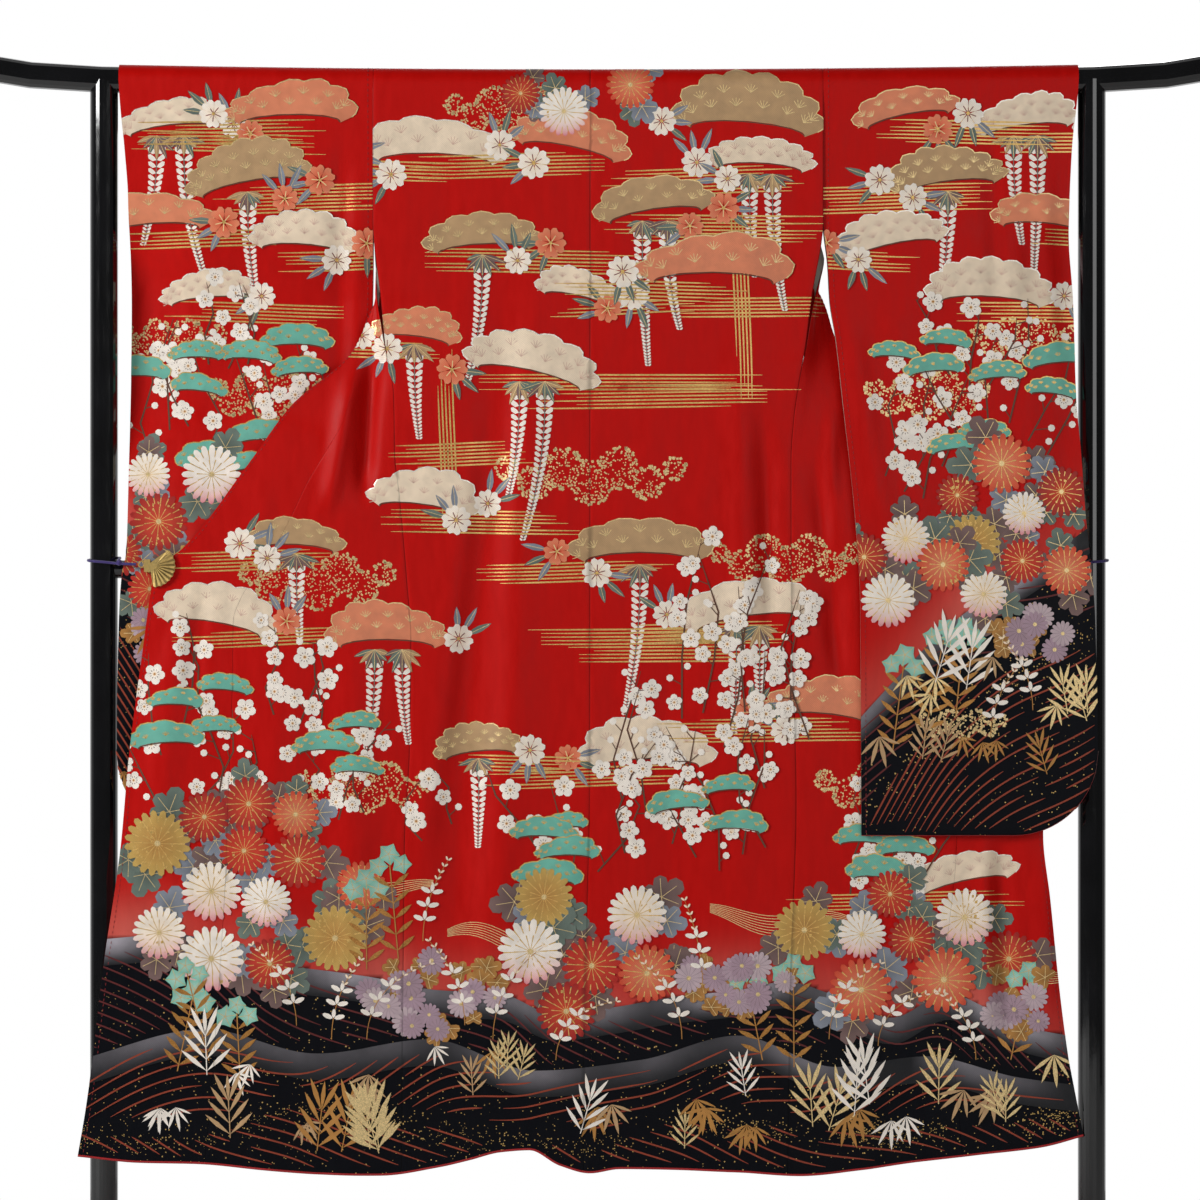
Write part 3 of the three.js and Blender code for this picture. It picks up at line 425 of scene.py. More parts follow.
class Panel:
    """One cut piece of cloth: the grid of its outer face, its normals and its inner face."""

    def __init__(self, name, points, thickness, outside, ring=False):
        """outside is a grid place and the sign of y that the garment's outer side has there."""
        self.name = name
        self.ring = ring
        self.middle = np.array(points, dtype=float)
        normals = grid_normals(self.middle, ring)
        i, j, sign = outside
        if normals[i, j, 1] * sign < 0:
            normals = -normals
            self.turned = True
        else:
            self.turned = False
        self.normals = normals
        self.outer = self.middle + normals * thickness / 2
        self.inner = self.middle - normals * thickness / 2
        self.sewn = (0, len(points) - 1) if name.startswith(("back", "front")) else ()
        for edge in self.sewn:
            self.outer[edge] -= normals[edge] * SEAM_DIP

    def quads(self):
        nu, nv = self.middle.shape[:2]
        for i in range(nu - 1):
            for j in range(nv if self.ring else nv - 1):
                yield i, j, i + 1, (j + 1) % nv


def back_panel(side, step):
    over = math.pi * RIDE
    shares = edged([s / 100 for s in steps(0, 100, 100 * step / 310)], 0.004)
    paths = [-1, -0.75, -0.5, -0.25] + steps(0, over, 5.5) + steps(over, over + BACK_DROP, step)[1:]

    def point(share, path):
        if path < 0:
            top = back_top(back_point(side, share, 0)[0]) - GAP / 2
            path *= top
        return back_point(side, share, path)

    points = [[point(share, path) for path in paths] for share in shares]
    return Panel(f"back_{side.name}", points, CLOTH, (len(shares) // 2, len(paths) // 2, -1))


def front_panel(side, step):
    shares = edged([s / 100 for s in steps(0, 100, 100 * step / 270)], 0.005)
    levels = steps(FRONT_TOP, HEM_LEVEL, step)

    def point(share, level):
        seam = 1 if level > OKUMI_TIP else side.okumi_share(level)
        return front_point(side, share * seam, level)

    points = [[point(share, level) for level in levels] for share in shares]
    return Panel(f"front_{side.name}", points, CLOTH, (len(shares) // 2, len(levels) * 3 // 4, -1))


def okumi_panel(side, step):
    shares = edged([s / 100 for s in steps(0, 100, 100 * step / 180)], 0.008)
    levels = steps(OKUMI_TOP, HEM_LEVEL, step)

    def point(share, level):
        seam = side.okumi_share(level)
        width = abs(side.front_edge_x(level) - side.front_side_x(level)) + 10
        gap = GAP * (1 + 4 * math.exp(-((level - 1392) / 40) ** 2))
        return front_point(side, lerp(seam + gap / width, 1, share), level)

    points = [[point(share, level) for level in levels] for share in shares]
    return Panel(f"okumi_{side.name}", points, CLOTH, (len(shares) // 2, len(levels) * 3 // 4, -1))


def sleeve_panel(side, step):
    shares = [0, 0.006] + [s / 1000 for s in steps(20, 975, 1000 * step / 335)] + [0.99, 1]
    climbs = steps(0, FOOT_CLIMB, FOOT_STEP)[1:] + steps(FOOT_CLIMB, 1, step / SLEEVE_DROP)[1:]
    turns = [0] + [c * WALL_TURN for c in climbs]
    turns += [WALL_TURN + RAIL_TURN * i / 12 for i in range(1, 12)]
    turns += [1 - c * WALL_TURN for c in reversed(climbs)]
    points = [[sleeve_point(side, share, turn) for turn in turns] for share in shares]
    return Panel(f"sleeve_{side.name}", points, CLOTH, (len(shares) // 2, len(turns) // 4, -1), ring=True)


def collar_panel(step):
    levels = steps(COLLAR_END, COLLAR_TOP, step)
    shares = [-1, -0.94, -0.87, -0.7, -0.5, -0.25, 0, 0.25, 0.5, 0.7, 0.87, 0.94, 1]
    stops = [collar_front_stop(LEFT, level) for level in levels]
    stops += [collar_neck_stop(share) for share in shares]
    stops += [collar_front_stop(RIGHT, level) for level in reversed(levels)]
    across = [i / 8 for i in range(9)]
    points = [[collar_stop_point(stop, v) for v in across] for stop in stops]
    return Panel("collar", points, COLLAR_CLOTH, (len(levels) // 3, 4, -1))


def wall_mesh(panel, cloth, lining):
    """A closed wall: outer face in cloth, inner face in lining, and the rims between them."""
    nu, nv = panel.middle.shape[:2]
    layer = nu * nv
    faces = []
    slots = []

    def face(indices, slot):
        faces.append(indices if not panel.turned else indices[::-1])
        slots.append(slot)

    for i, j, k, m in panel.quads():
        a, b, c, d = i * nv + j, k * nv + j, k * nv + m, i * nv + m
        face((a, b, c, d), 0)
        face((layer + a, layer + d, layer + c, layer + b), 1)
    rows = nv if panel.ring else nv - 1
    end = (nu - 1) * nv
    for j in range(rows):
        k = (j + 1) % nv
        face((j, k, layer + k, layer + j), 0)
        face((end + j, layer + end + j, layer + end + k, end + k), 0)
    if not panel.ring:
        for i in range(nu - 1):
            a, b, top = i * nv, (i + 1) * nv, nv - 1
            face((a, layer + a, layer + b, b), 0)
            face((a + top, b + top, layer + b + top, layer + a + top), 0)
    vertices = np.concatenate([panel.outer.reshape(-1, 3), panel.inner.reshape(-1, 3)]) * MM
    mesh = built_mesh(panel.name, vertices.tolist(), faces, (cloth, lining), slots, [True] * len(faces))
    mesh.set_sharp_from_angle(angle=math.radians(50))
    mesh.update()
    return mesh


def add_object(name, mesh, slot, *nodes):
    piece = bpy.data.objects.new(name, mesh)
    bpy.context.scene.collection.objects.link(piece)
    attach(piece, "root")
    if nodes:
        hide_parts(*nodes)
    return piece


# ------------------------------------------------------------------ materials
def srgb(red, green, blue):
    """Linear colour of an eight-bit one."""
    def linear(c):
        c /= 255
        return c / 12.92 if c <= 0.04045 else ((c + 0.055) / 1.055) ** 2.4
    return linear(red), linear(green), linear(blue)


class Nodes:
    """Shorthand for building one material's node tree."""

    def __init__(self, name):
        self.material = bpy.data.materials.new(name)
        self.material.use_nodes = True
        self.tree = self.material.node_tree
        self.shader = self.tree.nodes["Principled BSDF"]

    def add(self, kind, **values):
        node = self.tree.nodes.new(kind)
        for key, value in values.items():
            if key.startswith("in_"):
                socket = key[3:]
                place = int(socket) if socket.isdigit() else socket.replace("_", " ")
                node.inputs[place].default_value = value
            else:
                setattr(node, key, value)
        return node

    def link(self, source, target):
        self.tree.links.new(source, target)

    def set(self, **values):
        for key, value in values.items():
            self.shader.inputs[key.replace("_", " ")].default_value = value

    def feed(self, **sources):
        """Links sockets to the shader's inputs."""
        for key, source in sources.items():
            self.link(source, self.shader.inputs[key.replace("_", " ")])

    def object_place(self, scale=(1, 1, 1)):
        place = self.add("ShaderNodeTexCoord")
        mapping = self.add("ShaderNodeMapping")
        mapping.inputs["Scale"].default_value = scale
        self.link(place.outputs["Object"], mapping.inputs["Vector"])
        return mapping.outputs["Vector"]

    def noise(self, place, scale, detail=3.0, rough=0.5):
        node = self.add("ShaderNodeTexNoise", in_Scale=scale, in_Detail=detail, in_Roughness=rough)
        self.link(place, node.inputs["Vector"])
        return node.outputs["Fac"]

    def wave(self, place, direction, **values):
        node = self.add("ShaderNodeTexWave", wave_type="BANDS", bands_direction=direction, **values)
        self.link(place, node.inputs["Vector"])
        return node.outputs["Fac"]

    def spread(self, value, low, high, to_low=0.0, to_high=1.0):
        node = self.add("ShaderNodeMapRange")
        for socket, number in zip(("From Min", "From Max", "To Min", "To Max"), (low, high, to_low, to_high)):
            node.inputs[socket].default_value = number
        self.link(value, node.inputs["Value"])
        return node.outputs["Result"]

    def math(self, operation, a, b=None):
        node = self.add("ShaderNodeMath", operation=operation)
        for socket, value in zip(node.inputs, (a, b)):
            if value is None:
                continue
            if isinstance(value, (int, float)):
                socket.default_value = value
            else:
                self.link(value, socket)
        return node.outputs[0]

    def mix(self, share, a, b, blend="MIX"):
        node = self.add("ShaderNodeMix", data_type="RGBA", blend_type=blend)
        for socket, value in zip((node.inputs[0], node.inputs[6], node.inputs[7]), (share, a, b)):
            if isinstance(value, (int, float)):
                socket.default_value = value
            elif isinstance(value, tuple):
                socket.default_value = (*value, 1)
            else:
                self.link(value, socket)
        return node.outputs[2]

    def shaded(self, colour, shade):
        """A colour made lighter or darker by a number."""
        grey = self.add("ShaderNodeCombineColor")
        for socket in grey.inputs[:3]:
            self.link(shade, socket)
        return self.mix(1.0, colour, grey.outputs[0], "MULTIPLY")

    def bump(self, height, distance, strength=1.0):
        node = self.add("ShaderNodeBump", in_Distance=distance, in_Strength=strength)
        self.link(height, node.inputs["Height"])
        self.link(node.outputs["Normal"], self.shader.inputs["Normal"])


def silk_weave(m, place):
    """Fine crossed threads with an uneven slub."""
    warp = m.wave(place, "X", in_Scale=260.0, in_Distortion=0.6, in_Detail=1.0)
    weft = m.wave(place, "Z", in_Scale=190.0, in_Distortion=0.8, in_Detail=1.0)
    return m.math("MULTIPLY", m.math("ADD", warp, weft), 0.5)


def silk_material(settings):
    m = Nodes("figured_red_silk")
    place = m.object_place()
    # the ground colour holds painted shade along the sewn edges
    ground = m.add("ShaderNodeAttribute", attribute_name="ground")
    dust = m.add("ShaderNodeAttribute", attribute_name="dust")
    weave = silk_weave(m, place)
    tall = m.object_place((1, 1, 0.25))
    slub = m.noise(tall, 90, 4)
    depth = m.spread(slub, 0.3, 0.7, 0.94, 1.05)
    shade = m.math("MULTIPLY", depth, m.spread(weave, 0, 1, 0.97, 1.03))
    colour = m.shaded(ground.outputs["Color"], shade)
    specks = m.add("ShaderNodeTexVoronoi", in_Scale=420.0, in_Randomness=1.0)
    m.link(place, specks.inputs["Vector"])
    pick = m.add("ShaderNodeSeparateColor")
    m.link(specks.outputs["Color"], pick.inputs[0])
    chosen = m.math("LESS_THAN", pick.outputs[0], m.math("MULTIPLY", dust.outputs["Fac"], 0.75))
    dot = m.math("LESS_THAN", specks.outputs["Distance"], m.spread(pick.outputs[1], 0, 1, 0.22, 0.5))
    gilt = m.math("MULTIPLY", chosen, dot)
    colour = m.mix(gilt, colour, tuple(settings.gold))
    m.feed(Base_Color=colour, Metallic=m.spread(gilt, 0, 1, 0, 0.75),
           Roughness=m.spread(slub, 0.3, 0.7, 0.38, 0.5))
    m.set(Sheen_Weight=0.01, Sheen_Roughness=0.35, Specular_IOR_Level=0.09, Anisotropic=0.25)
    m.shader.inputs["Sheen Tint"].default_value = (1.0, 0.55, 0.5, 1)
    m.bump(m.math("ADD", m.math("MULTIPLY", weave, 0.5), m.math("MULTIPLY", slub, 1.0)), 0.00016, 0.5)
    return m.material


def motif_material():
    """Dye and thread in the motif's own colours, with painted shade along sewn edges, and a faint stitch
    grain.
    """
    m = Nodes("dyed_motifs")
    place = m.object_place()
    own = m.add("ShaderNodeAttribute", attribute_name="dye")
    thread = m.wave(place, "DIAGONAL", in_Scale=210.0, in_Distortion=2.0, in_Detail=1.0)
    cloud = m.noise(place, 70, 4)
    shade = m.math("MULTIPLY", m.spread(thread, 0, 1, 0.9, 1.04), m.spread(cloud, 0.3, 0.7, 0.88, 1.06))
    m.feed(Base_Color=m.shaded(own.outputs["Color"], shade), Roughness=m.spread(cloud, 0.3, 0.7, 0.42, 0.6))
    m.set(Sheen_Weight=0.08, Sheen_Roughness=0.4, Specular_IOR_Level=0.35)
    m.bump(thread, 0.0001, 0.4)
    return m.material


def gold_leaf_material():
    """Thin leaf that has flaked a little, so that it is brighter and duller in spots."""
    m = Nodes("gold_leaf")
    place = m.object_place()
    # this colour holds painted shade along the sewn edges
    own = m.add("ShaderNodeAttribute", attribute_name="dye")
    flake = m.noise(place, 600, 3, 0.6)
    shade = m.spread(flake, 0.35, 0.65, 0.7, 1.2)
    m.feed(Base_Color=m.shaded(own.outputs["Color"], shade), Roughness=m.spread(flake, 0.3, 0.7, 0.3, 0.5))
    m.set(Metallic=0.55)
    m.bump(flake, 0.0001, 0.4)
    return m.material


HEM_LINING_TOP = 0.66     # metres above the floor, where the red hem lining is sewn to the grey one


def lining_material(name, near, far, hem=None):
    """Plain lining silk; hem is the colour of its lower part, below HEM_LINING_TOP."""
    m = Nodes(name)
    place = m.object_place()
    weave = silk_weave(m, place)
    cloud = m.noise(m.object_place((1, 1, 0.4)), 5, 3)
    blend = m.math("ADD", m.spread(cloud, 0.3, 0.7, 0.2, 0.5), m.spread(weave, 0, 1, 0, 0.5))
    colour = m.mix(blend, near, far)
    if hem:
        height = m.add("ShaderNodeSeparateXYZ")
        m.link(place, height.inputs[0])
        below = m.spread(height.outputs["Z"], HEM_LINING_TOP + 0.001, HEM_LINING_TOP - 0.001)
        colour = m.mix(below, colour, hem)
    m.feed(Base_Color=colour)
    m.set(Roughness=0.55, Sheen_Weight=0.1, Sheen_Roughness=0.4)
    m.bump(weave, 0.0001, 0.5)
    return m.material


def lacquer_material():
    m = Nodes("black_lacquer")
    place = m.object_place()
    cloud = m.noise(place, 14, 4)
    m.feed(Base_Color=m.mix(m.spread(cloud, 0.3, 0.7), (0.0022, 0.0022, 0.0026), (0.005, 0.005, 0.006)))
    scuff = m.noise(m.object_place((1, 1, 0.2)), 120, 5, 0.65)
    m.feed(Roughness=m.spread(scuff, 0.45, 0.8, 0.06, 0.16))
    m.set(Specular_IOR_Level=0.42, Coat_Weight=0.6, Coat_Roughness=0.05)
    m.bump(m.noise(place, 60, 3), 0.0003, 0.12)
    return m.material


def rubber_material():
    m = Nodes("foot_rubber")
    grain = m.noise(m.object_place(), 400, 4, 0.6)
    m.feed(Base_Color=m.mix(grain, (0.008, 0.008, 0.008), (0.022, 0.021, 0.02)))
    m.set(Roughness=0.8)
    m.bump(grain, 0.0002, 0.5)
    return m.material


def brass_material(name, bright, dull):
    m = Nodes(name)
    place = m.object_place()
    tarnish = m.noise(place, 160, 5, 0.6)
    m.feed(Base_Color=m.mix(m.spread(tarnish, 0.4, 0.75), bright, dull),
           Roughness=m.spread(tarnish, 0.3, 0.7, 0.3, 0.5))
    m.set(Metallic=0.7)
    m.bump(m.noise(place, 900, 2), 0.0001, 0.4)
    return m.material


def cord_material():
    m = Nodes("twisted_cord")
    place = m.object_place()
    twist = m.wave(place, "DIAGONAL", in_Scale=330.0, in_Distortion=1.0)
    m.feed(Base_Color=m.mix(twist, (0.012, 0.006, 0.06), (0.05, 0.02, 0.22)))
    m.set(Roughness=0.6, Sheen_Weight=0.2)
    m.bump(twist, 0.0004, 0.7)
    return m.material


# ------------------------------------------------------------------ the dyed ground
# x, height of the crests of the dark hills across the skirt
FAR_HILL = curve([(-745, 470), (-600, 480), (-470, 440), (-330, 420), (-230, 400), (-140, 395),
                  (-60, 365), (20, 375), (110, 390), (200, 400), (270, 412), (330, 395), (420, 360),
                  (500, 395), (560, 372), (620, 345), (700, 330)])
NEAR_HILL = curve([(-745, 300), (-560, 345), (-400, 310), (-240, 330), (-90, 285), (60, 300), (200, 335),
                   (340, 290), (470, 305), (600, 275), (700, 262)])
FRONT_HILL = curve([(-745, 215), (-600, 205), (-420, 250), (-200, 215), (-20, 195), (150, 235), (330, 215),
                    (520, 225), (700, 240)])
# distance from the middle plane, height of the hill on a sleeve
SLEEVE_HILL = curve([(366, 780), (430, 850), (500, 920), (580, 978), (650, 1025), (713, 1070)])


def mix3(a, b, t):
    return tuple(lerp(p, q, t) for p, q in zip(a, b))


def patch(x, seed):
    return clamp01(0.45 + 1.2 * noise.noise(Vector((x / 120, 0, seed))))


NEAR_SLEEVE_HILL = 118     # how far a sleeve's nearer hill lies below its crest


def mossy(below, x, seed):
    """Dust that gathers in patches along a hill's crest."""
    return math.exp(-(((below - 24) / 17) ** 2)) * patch(x, seed) * 0.8


def over_hill(settings, red, above, x):
    """The red above a hill's crest, which glows toward it, and the dark below, with a little dust."""
    if above < 0:
        return tuple(settings.navy), 0.05
    return mix3(red, tuple(settings.mist), math.exp(-((above / 52) ** 2)) * (0.25 + 0.55 * patch(x, 4))), 0.0


def skirt_ground(settings, x, z):
    """Colour of the dyed silk and density of gold dust at a place on the body."""
    red = mix3(tuple(settings.red), tuple(settings.deep_red), smooth((560 - z) / 300) * 0.5)
    colour, dust = over_hill(settings, red, z - FAR_HILL(x), x)
    for seed, crest in ((9, NEAR_HILL(x)), (15, FRONT_HILL(x))):
        dust = max(dust, mossy(crest - z, x, seed))
    return colour, dust


def sleeve_crest(x):
    return SLEEVE_HILL(abs(x))


def sleeve_ground(settings, x, z):
    colour, dust = over_hill(settings, tuple(settings.red), (z - sleeve_crest(x)) * 0.8, x)
    return colour, max(dust, mossy(sleeve_crest(x) - NEAR_SLEEVE_HILL - z, x, 21))


def dye(mesh, panel, ground_at):
    """Stores the ground colour, with painted shade along the sewn edges, and the dust on the panel's points,
    outer face first.
    """
    looks = [ground_at(x, z) for x, _, z in panel.middle.reshape(-1, 3)]
    rows = panel.middle.shape[1]
    # Painted shade: the sewn edge columns are mixed toward black.
    if panel.sewn:
        looks = [(mix3((0, 0, 0), look[0], PAINTED_SEAM_SHADE if i // rows in panel.sewn else 1), look[1])
                 for i, look in enumerate(looks)]
    looks = looks * 2
    colour = mesh.attributes.new("ground", "FLOAT_COLOR", "POINT")
    colour.data.foreach_set("color", [c for look in looks for c in (*look[0], 1.0)])
    dust = mesh.attributes.new("dust", "FLOAT", "POINT")
    dust.data.foreach_set("value", [look[1] for look in looks])


# ------------------------------------------------------------------ laying motifs on the cloth
BASE_LIFT = 0.16       # of the first layer of dye or leaf above the cloth
LAYER_LIFT = 0.05      # between motifs that overlap
PART_LIFT = 0.014      # between the parts of one motif


def signed_area(points):
    return 0.5 * sum(a[0] * b[1] - b[0] * a[1] for a, b in zip(points, points[1:] + points[:1]))


def clip_to(points, corners):
    """The part of a convex outline inside a convex anticlockwise cell."""
    for (ax, az), (bx, bz) in zip(corners, corners[1:] + corners[:1]):
        ex, ez = bx - ax, bz - az
        sides = [ex * (z - az) - ez * (x - ax) for x, z in points]
        if min(sides) >= 0:
            continue
        if max(sides) <= 0:
            return []
        kept = []
        for i, (p, side) in enumerate(zip(points, sides)):
            q, after = points[(i + 1) % len(points)], sides[(i + 1) % len(points)]
            if side >= 0:
                kept.append(p)
            if side * after < 0:
                t = side / (side - after)
                kept.append((p[0] + (q[0] - p[0]) * t, p[1] + (q[1] - p[1]) * t))
        points = kept
        if len(points) < 3:
            return []
    return points


class Cell:
    """One quad of a cloth face, seen square on."""
    __slots__ = ("owner", "flat", "points", "normals", "splits", "shade")

    def __init__(self, owner, points, normals):
        flat = [(p[0], p[2]) for p in points]
        if signed_area(flat) < 0:
            points, normals, flat = points[::-1], normals[::-1], flat[::-1]
        self.owner = owner
        self.flat = flat
        self.points = points
        self.normals = normals
        self.splits = []
        for a, b, c in ((0, 1, 2), (0, 2, 3)):
            (ax, az), (bx, bz), (cx, cz) = flat[a], flat[b], flat[c]
            size = (bx - ax) * (cz - az) - (cx - ax) * (bz - az)
            self.splits.append((a, b, c, size))

    def place(self, x, z, lift):
        """Point and normal on the cloth at x, z, moved out by lift."""
        best = None
        for a, b, c, size in self.splits:
            if abs(size) < 1e-6:
                continue
            (ax, az), (bx, bz), (cx, cz) = self.flat[a], self.flat[b], self.flat[c]
            v = ((x - ax) * (cz - az) - (cx - ax) * (z - az)) / size
            w = ((bx - ax) * (z - az) - (x - ax) * (bz - az)) / size
            low = min(v, w, 1 - v - w)
            if best is None or low > best[0]:
                best = (low, a, b, c, v, w)
        _, a, b, c, v, w = best
        u = 1 - v - w
        p, q, r = self.points[a], self.points[b], self.points[c]
        k, l, m = self.normals[a], self.normals[b], self.normals[c]
        normal = [u * k[i] + v * l[i] + w * m[i] for i in range(3)]
        point = [u * p[i] + v * q[i] + w * r[i] + lift * normal[i] for i in range(3)]
        return point, normal


class Ink:
    """What lies on one panel."""

    def __init__(self):
        self.points, self.normals, self.colours, self.faces, self.slots = [], [], [], [], []


class Face:
    """The quads of some panels that look one way, and what has been laid on them."""
    BIN = 9.0

    def __init__(self, panels, sign, inks):
        self.sign = sign
        self.bins = {}
        self.tops = {}
        self.inks = inks
        for panel in panels:
            inks.setdefault(panel.name, Ink())
            outer, normals = panel.outer.tolist(), panel.normals.tolist()
            for i, j, k, m in panel.quads():
                around = ((i, j), (k, j), (k, m), (i, m))
                ns = [normals[a][b] for a, b in around]
                if sum(n[1] for n in ns) * sign < 1.0:
                    continue
                cell = Cell(panel.name, [outer[a][b] for a, b in around], ns)
                # Painted shade: motifs on a quad at a sewn edge are darkened.
                cell.shade = PAINTED_SEAM_INK_SHADE if i in panel.sewn or k in panel.sewn else 1.0
                if abs(signed_area(cell.flat)) < 0.4:
                    continue
                for key in self.keys(cell.flat):
                    self.bins.setdefault(key, []).append(cell)

    def keys(self, points):
        xs = [p[0] for p in points]
        zs = [p[1] for p in points]
        for a in range(int(min(xs) // self.BIN), int(max(xs) // self.BIN) + 1):
            for b in range(int(min(zs) // self.BIN), int(max(zs) // self.BIN) + 1):
                yield a, b

    def lay(self, shapes):
        """Lays one motif, a list of (convex outline, tone, part, gilt), on top of what is there."""
        places = {key for points, *_ in shapes for key in self.keys(points)}
        level = max((self.tops.get(key, 0) for key in places), default=0)
        for key in places:
            self.tops[key] = level + 1
        for points, tone, part, gilt in shapes:
            area = signed_area(points)
            if abs(area) < 0.02:
                continue
            if area < 0:
                points = points[::-1]
            self.stamp(points, tone, BASE_LIFT + level * LAYER_LIFT + part * PART_LIFT, gilt)

    def stamp(self, points, tone, lift, gilt):
        seen = set()
        index = {}
        for key in self.keys(points):
            for cell in self.bins.get(key, ()):
                if id(cell) in seen:
                    continue
                seen.add(id(cell))
                piece = clip_to(points, cell.flat)
                if len(piece) < 3 or signed_area(piece) < 0.008:
                    continue
                ink = self.inks[cell.owner]
                face = []
                for x, z in piece:
                    mark = (cell.owner, round(x, 2), round(z, 2))
                    if mark not in index:
                        point, normal = cell.place(x, z, lift)
                        index[mark] = len(ink.points)
                        ink.points.append([c * MM for c in point])
                        ink.normals.append(normal)
                        colour = tone(x, z) if callable(tone) else tone
                        # the motif's colour times its quad's painted seam shade
                        ink.colours.append([c * cell.shade for c in colour])
                    if index[mark] not in face:
                        face.append(index[mark])
                if len(face) > 2:
                    ink.faces.append(face if self.sign < 0 else face[::-1])
                    ink.slots.append(int(gilt))


def ink_mesh(name, ink, materials):
    mesh = built_mesh(name, ink.points, ink.faces, materials, ink.slots, [True] * len(ink.faces))
    # motif colours with painted shade along the sewn edges
    dye_colour = mesh.attributes.new("dye", "FLOAT_COLOR", "POINT")
    dye_colour.data.foreach_set("color", [c for colour in ink.colours for c in (*colour, 1.0)])
    mesh.update()
    mesh.normals_split_custom_set_from_vertices([Vector(n).normalized() for n in ink.normals])
    return mesh


# ------------------------------------------------------------------ colours of the motifs
WHITE = srgb(248, 238, 226)
CREAM = srgb(246, 224, 196)
TAUPE = srgb(192, 155, 112)
CORAL = srgb(230, 138, 100)
SCARLET = srgb(182, 30, 22)
VERMILION = srgb(212, 70, 40)
BRICK = srgb(146, 58, 34)
MAROON = srgb(92, 26, 26)
SLATE = srgb(138, 144, 156)
SAGE = srgb(108, 122, 112)
MAUVE = srgb(122, 96, 92)
TURQUOISE = srgb(112, 188, 168)
PINK = srgb(226, 128, 140)
OLIVE = srgb(196, 162, 86)
HONEY = srgb(182, 128, 62)
LAVENDER = srgb(176, 148, 162)
BROWN = srgb(96, 60, 42)
WINE = srgb(112, 14, 22)
GILT = srgb(222, 182, 106)
SOFT_GILT = srgb(232, 204, 146)
PALE_CREST = srgb(168, 162, 170)
FAN_LINE = srgb(214, 178, 158)


def turned(points, x, z, angle, size=1.0):
    c, s = math.cos(angle) * size, math.sin(angle) * size
    return [(x + c * a - s * b, z + s * a + c * b) for a, b in points]


def disc(x, z, radius, sides=8, turn=0.0):
    return [(x + radius * math.cos(turn + 2 * math.pi * i / sides),
             z + radius * math.sin(turn + 2 * math.pi * i / sides)) for i in range(sides)]


def fan_out(centre, outline):
    """Triangles from a centre to a closed outline round it."""
    return [[centre, a, b] for a, b in zip(outline, outline[1:] + outline[:1])]


def ribbon(path, width, tone, part=0, gilt=False, ends=(1.0, 1.0)):
    """A thin band along a path, an outline for each stretch, narrowed at its ends to shares of its width."""
    sides = []
    last = len(path) - 1
    for i, (x, z) in enumerate(path):
        ax, az = path[max(0, i - 1)]
        bx, bz = path[min(last, i + 1)]
        length = math.hypot(bx - ax, bz - az) or 1.0
        half = width / 2 * min(1, lerp(ends[0], 4, i / last), lerp(ends[1], 4, 1 - i / last))
        nx, nz = -(bz - az) / length * half, (bx - ax) / length * half
        sides.append(((x + nx, z + nz), (x - nx, z - nz)))
    return [([a, b, d, c], tone, part, gilt) for (a, b), (c, d) in zip(sides, sides[1:])]


def radial(x, z, reach, inner, outer, lower=None):
    """Shades from inner to outer, and toward lower on the underside."""
    def tone(px, pz):
        away = clamp01(math.hypot(px - x, pz - z) / reach)
        colour = mix3(inner, outer, away)
        return mix3(colour, lower, clamp01((z - pz) / reach) * away) if lower else colour
    return tone


CHERRY_HALF = [(0.0, 0.08), (0.27, 0.38), (0.46, 0.68), (0.42, 0.88), (0.24, 1.0), (0.0, 0.86)]


def cherry(x, z, r, turn, fill, heart, stamen=WINE):
    """A five-petalled blossom with notched petals."""
    shapes = []
    for k in range(5):
        angle = turn + k * 2 * math.pi / 5
        for flip in (1, -1):
            half = [(flip * a, b) for a, b in CHERRY_HALF]
            shapes.append((turned(half, x, z, angle, r), radial(x, z, r, heart, fill), 0, False))
        root, tip = turned([(0, 0.12), (0, 0.56)], x, z, angle, r)
        shapes += ribbon([root, tip], 1.3, stamen, 1)
    shapes.append((disc(x, z, r * 0.12, 6), GILT, 2, True))
    return shapes


def plum(x, z, r, turn):
    """A round-petalled blossom with a dashed ring of stamens."""
    shapes = [(disc(x, z, r * 0.5, 8), CREAM, 0, False)]
    for k in range(5):
        angle = turn + k * 2 * math.pi / 5
        px, pz = turned([(0, 0.57)], x, z, angle, r)[0]
        shapes.append((disc(px, pz, r * 0.4, 9, angle), WHITE, 1, False))
    for k in range(10):
        path = turned([(0, 0.3), (0, 0.44)], x, z, turn + k * math.pi / 5, r)
        shapes += ribbon(path, 0.9, BROWN, 2)
    shapes.append((disc(x, z, r * 0.12, 6), HONEY, 2, False))
    return shapes


PETAL = [(0, 0.08), (0.057, 0.42), (0.107, 0.8), (0.082, 0.94), (0, 1.0), (-0.082, 0.94), (-0.107, 0.8),
         (-0.057, 0.42)]
HEART_PETAL = [(a * 1.4, b) for a, b in PETAL]
WIDE_PETAL = [(a * 1.42, b) for a, b in PETAL]


def chrysanthemum(x, z, r, turn, heart, tip, lower):
    """A many-petalled bloom: two rings of long petals over gilt, which shows between them."""
    shapes = [(disc(x, z, r * 0.82, 16), GILT, 0, True)]
    tone = radial(x, z, r, heart, tip, lower)
    for k in range(20):
        shapes.append((turned(PETAL, x, z, turn + k * math.pi / 10, r), tone, 1, False))
    shapes.append((disc(x, z, r * 0.5, 14), GILT, 2, True))
    for k in range(14):
        shapes.append((turned(HEART_PETAL, x, z, turn + 0.1 + k * math.pi / 7, r * 0.62), tone, 3, False))
    shapes.append((disc(x, z, r * 0.09, 8), SOFT_GILT, 4, True))
    return shapes


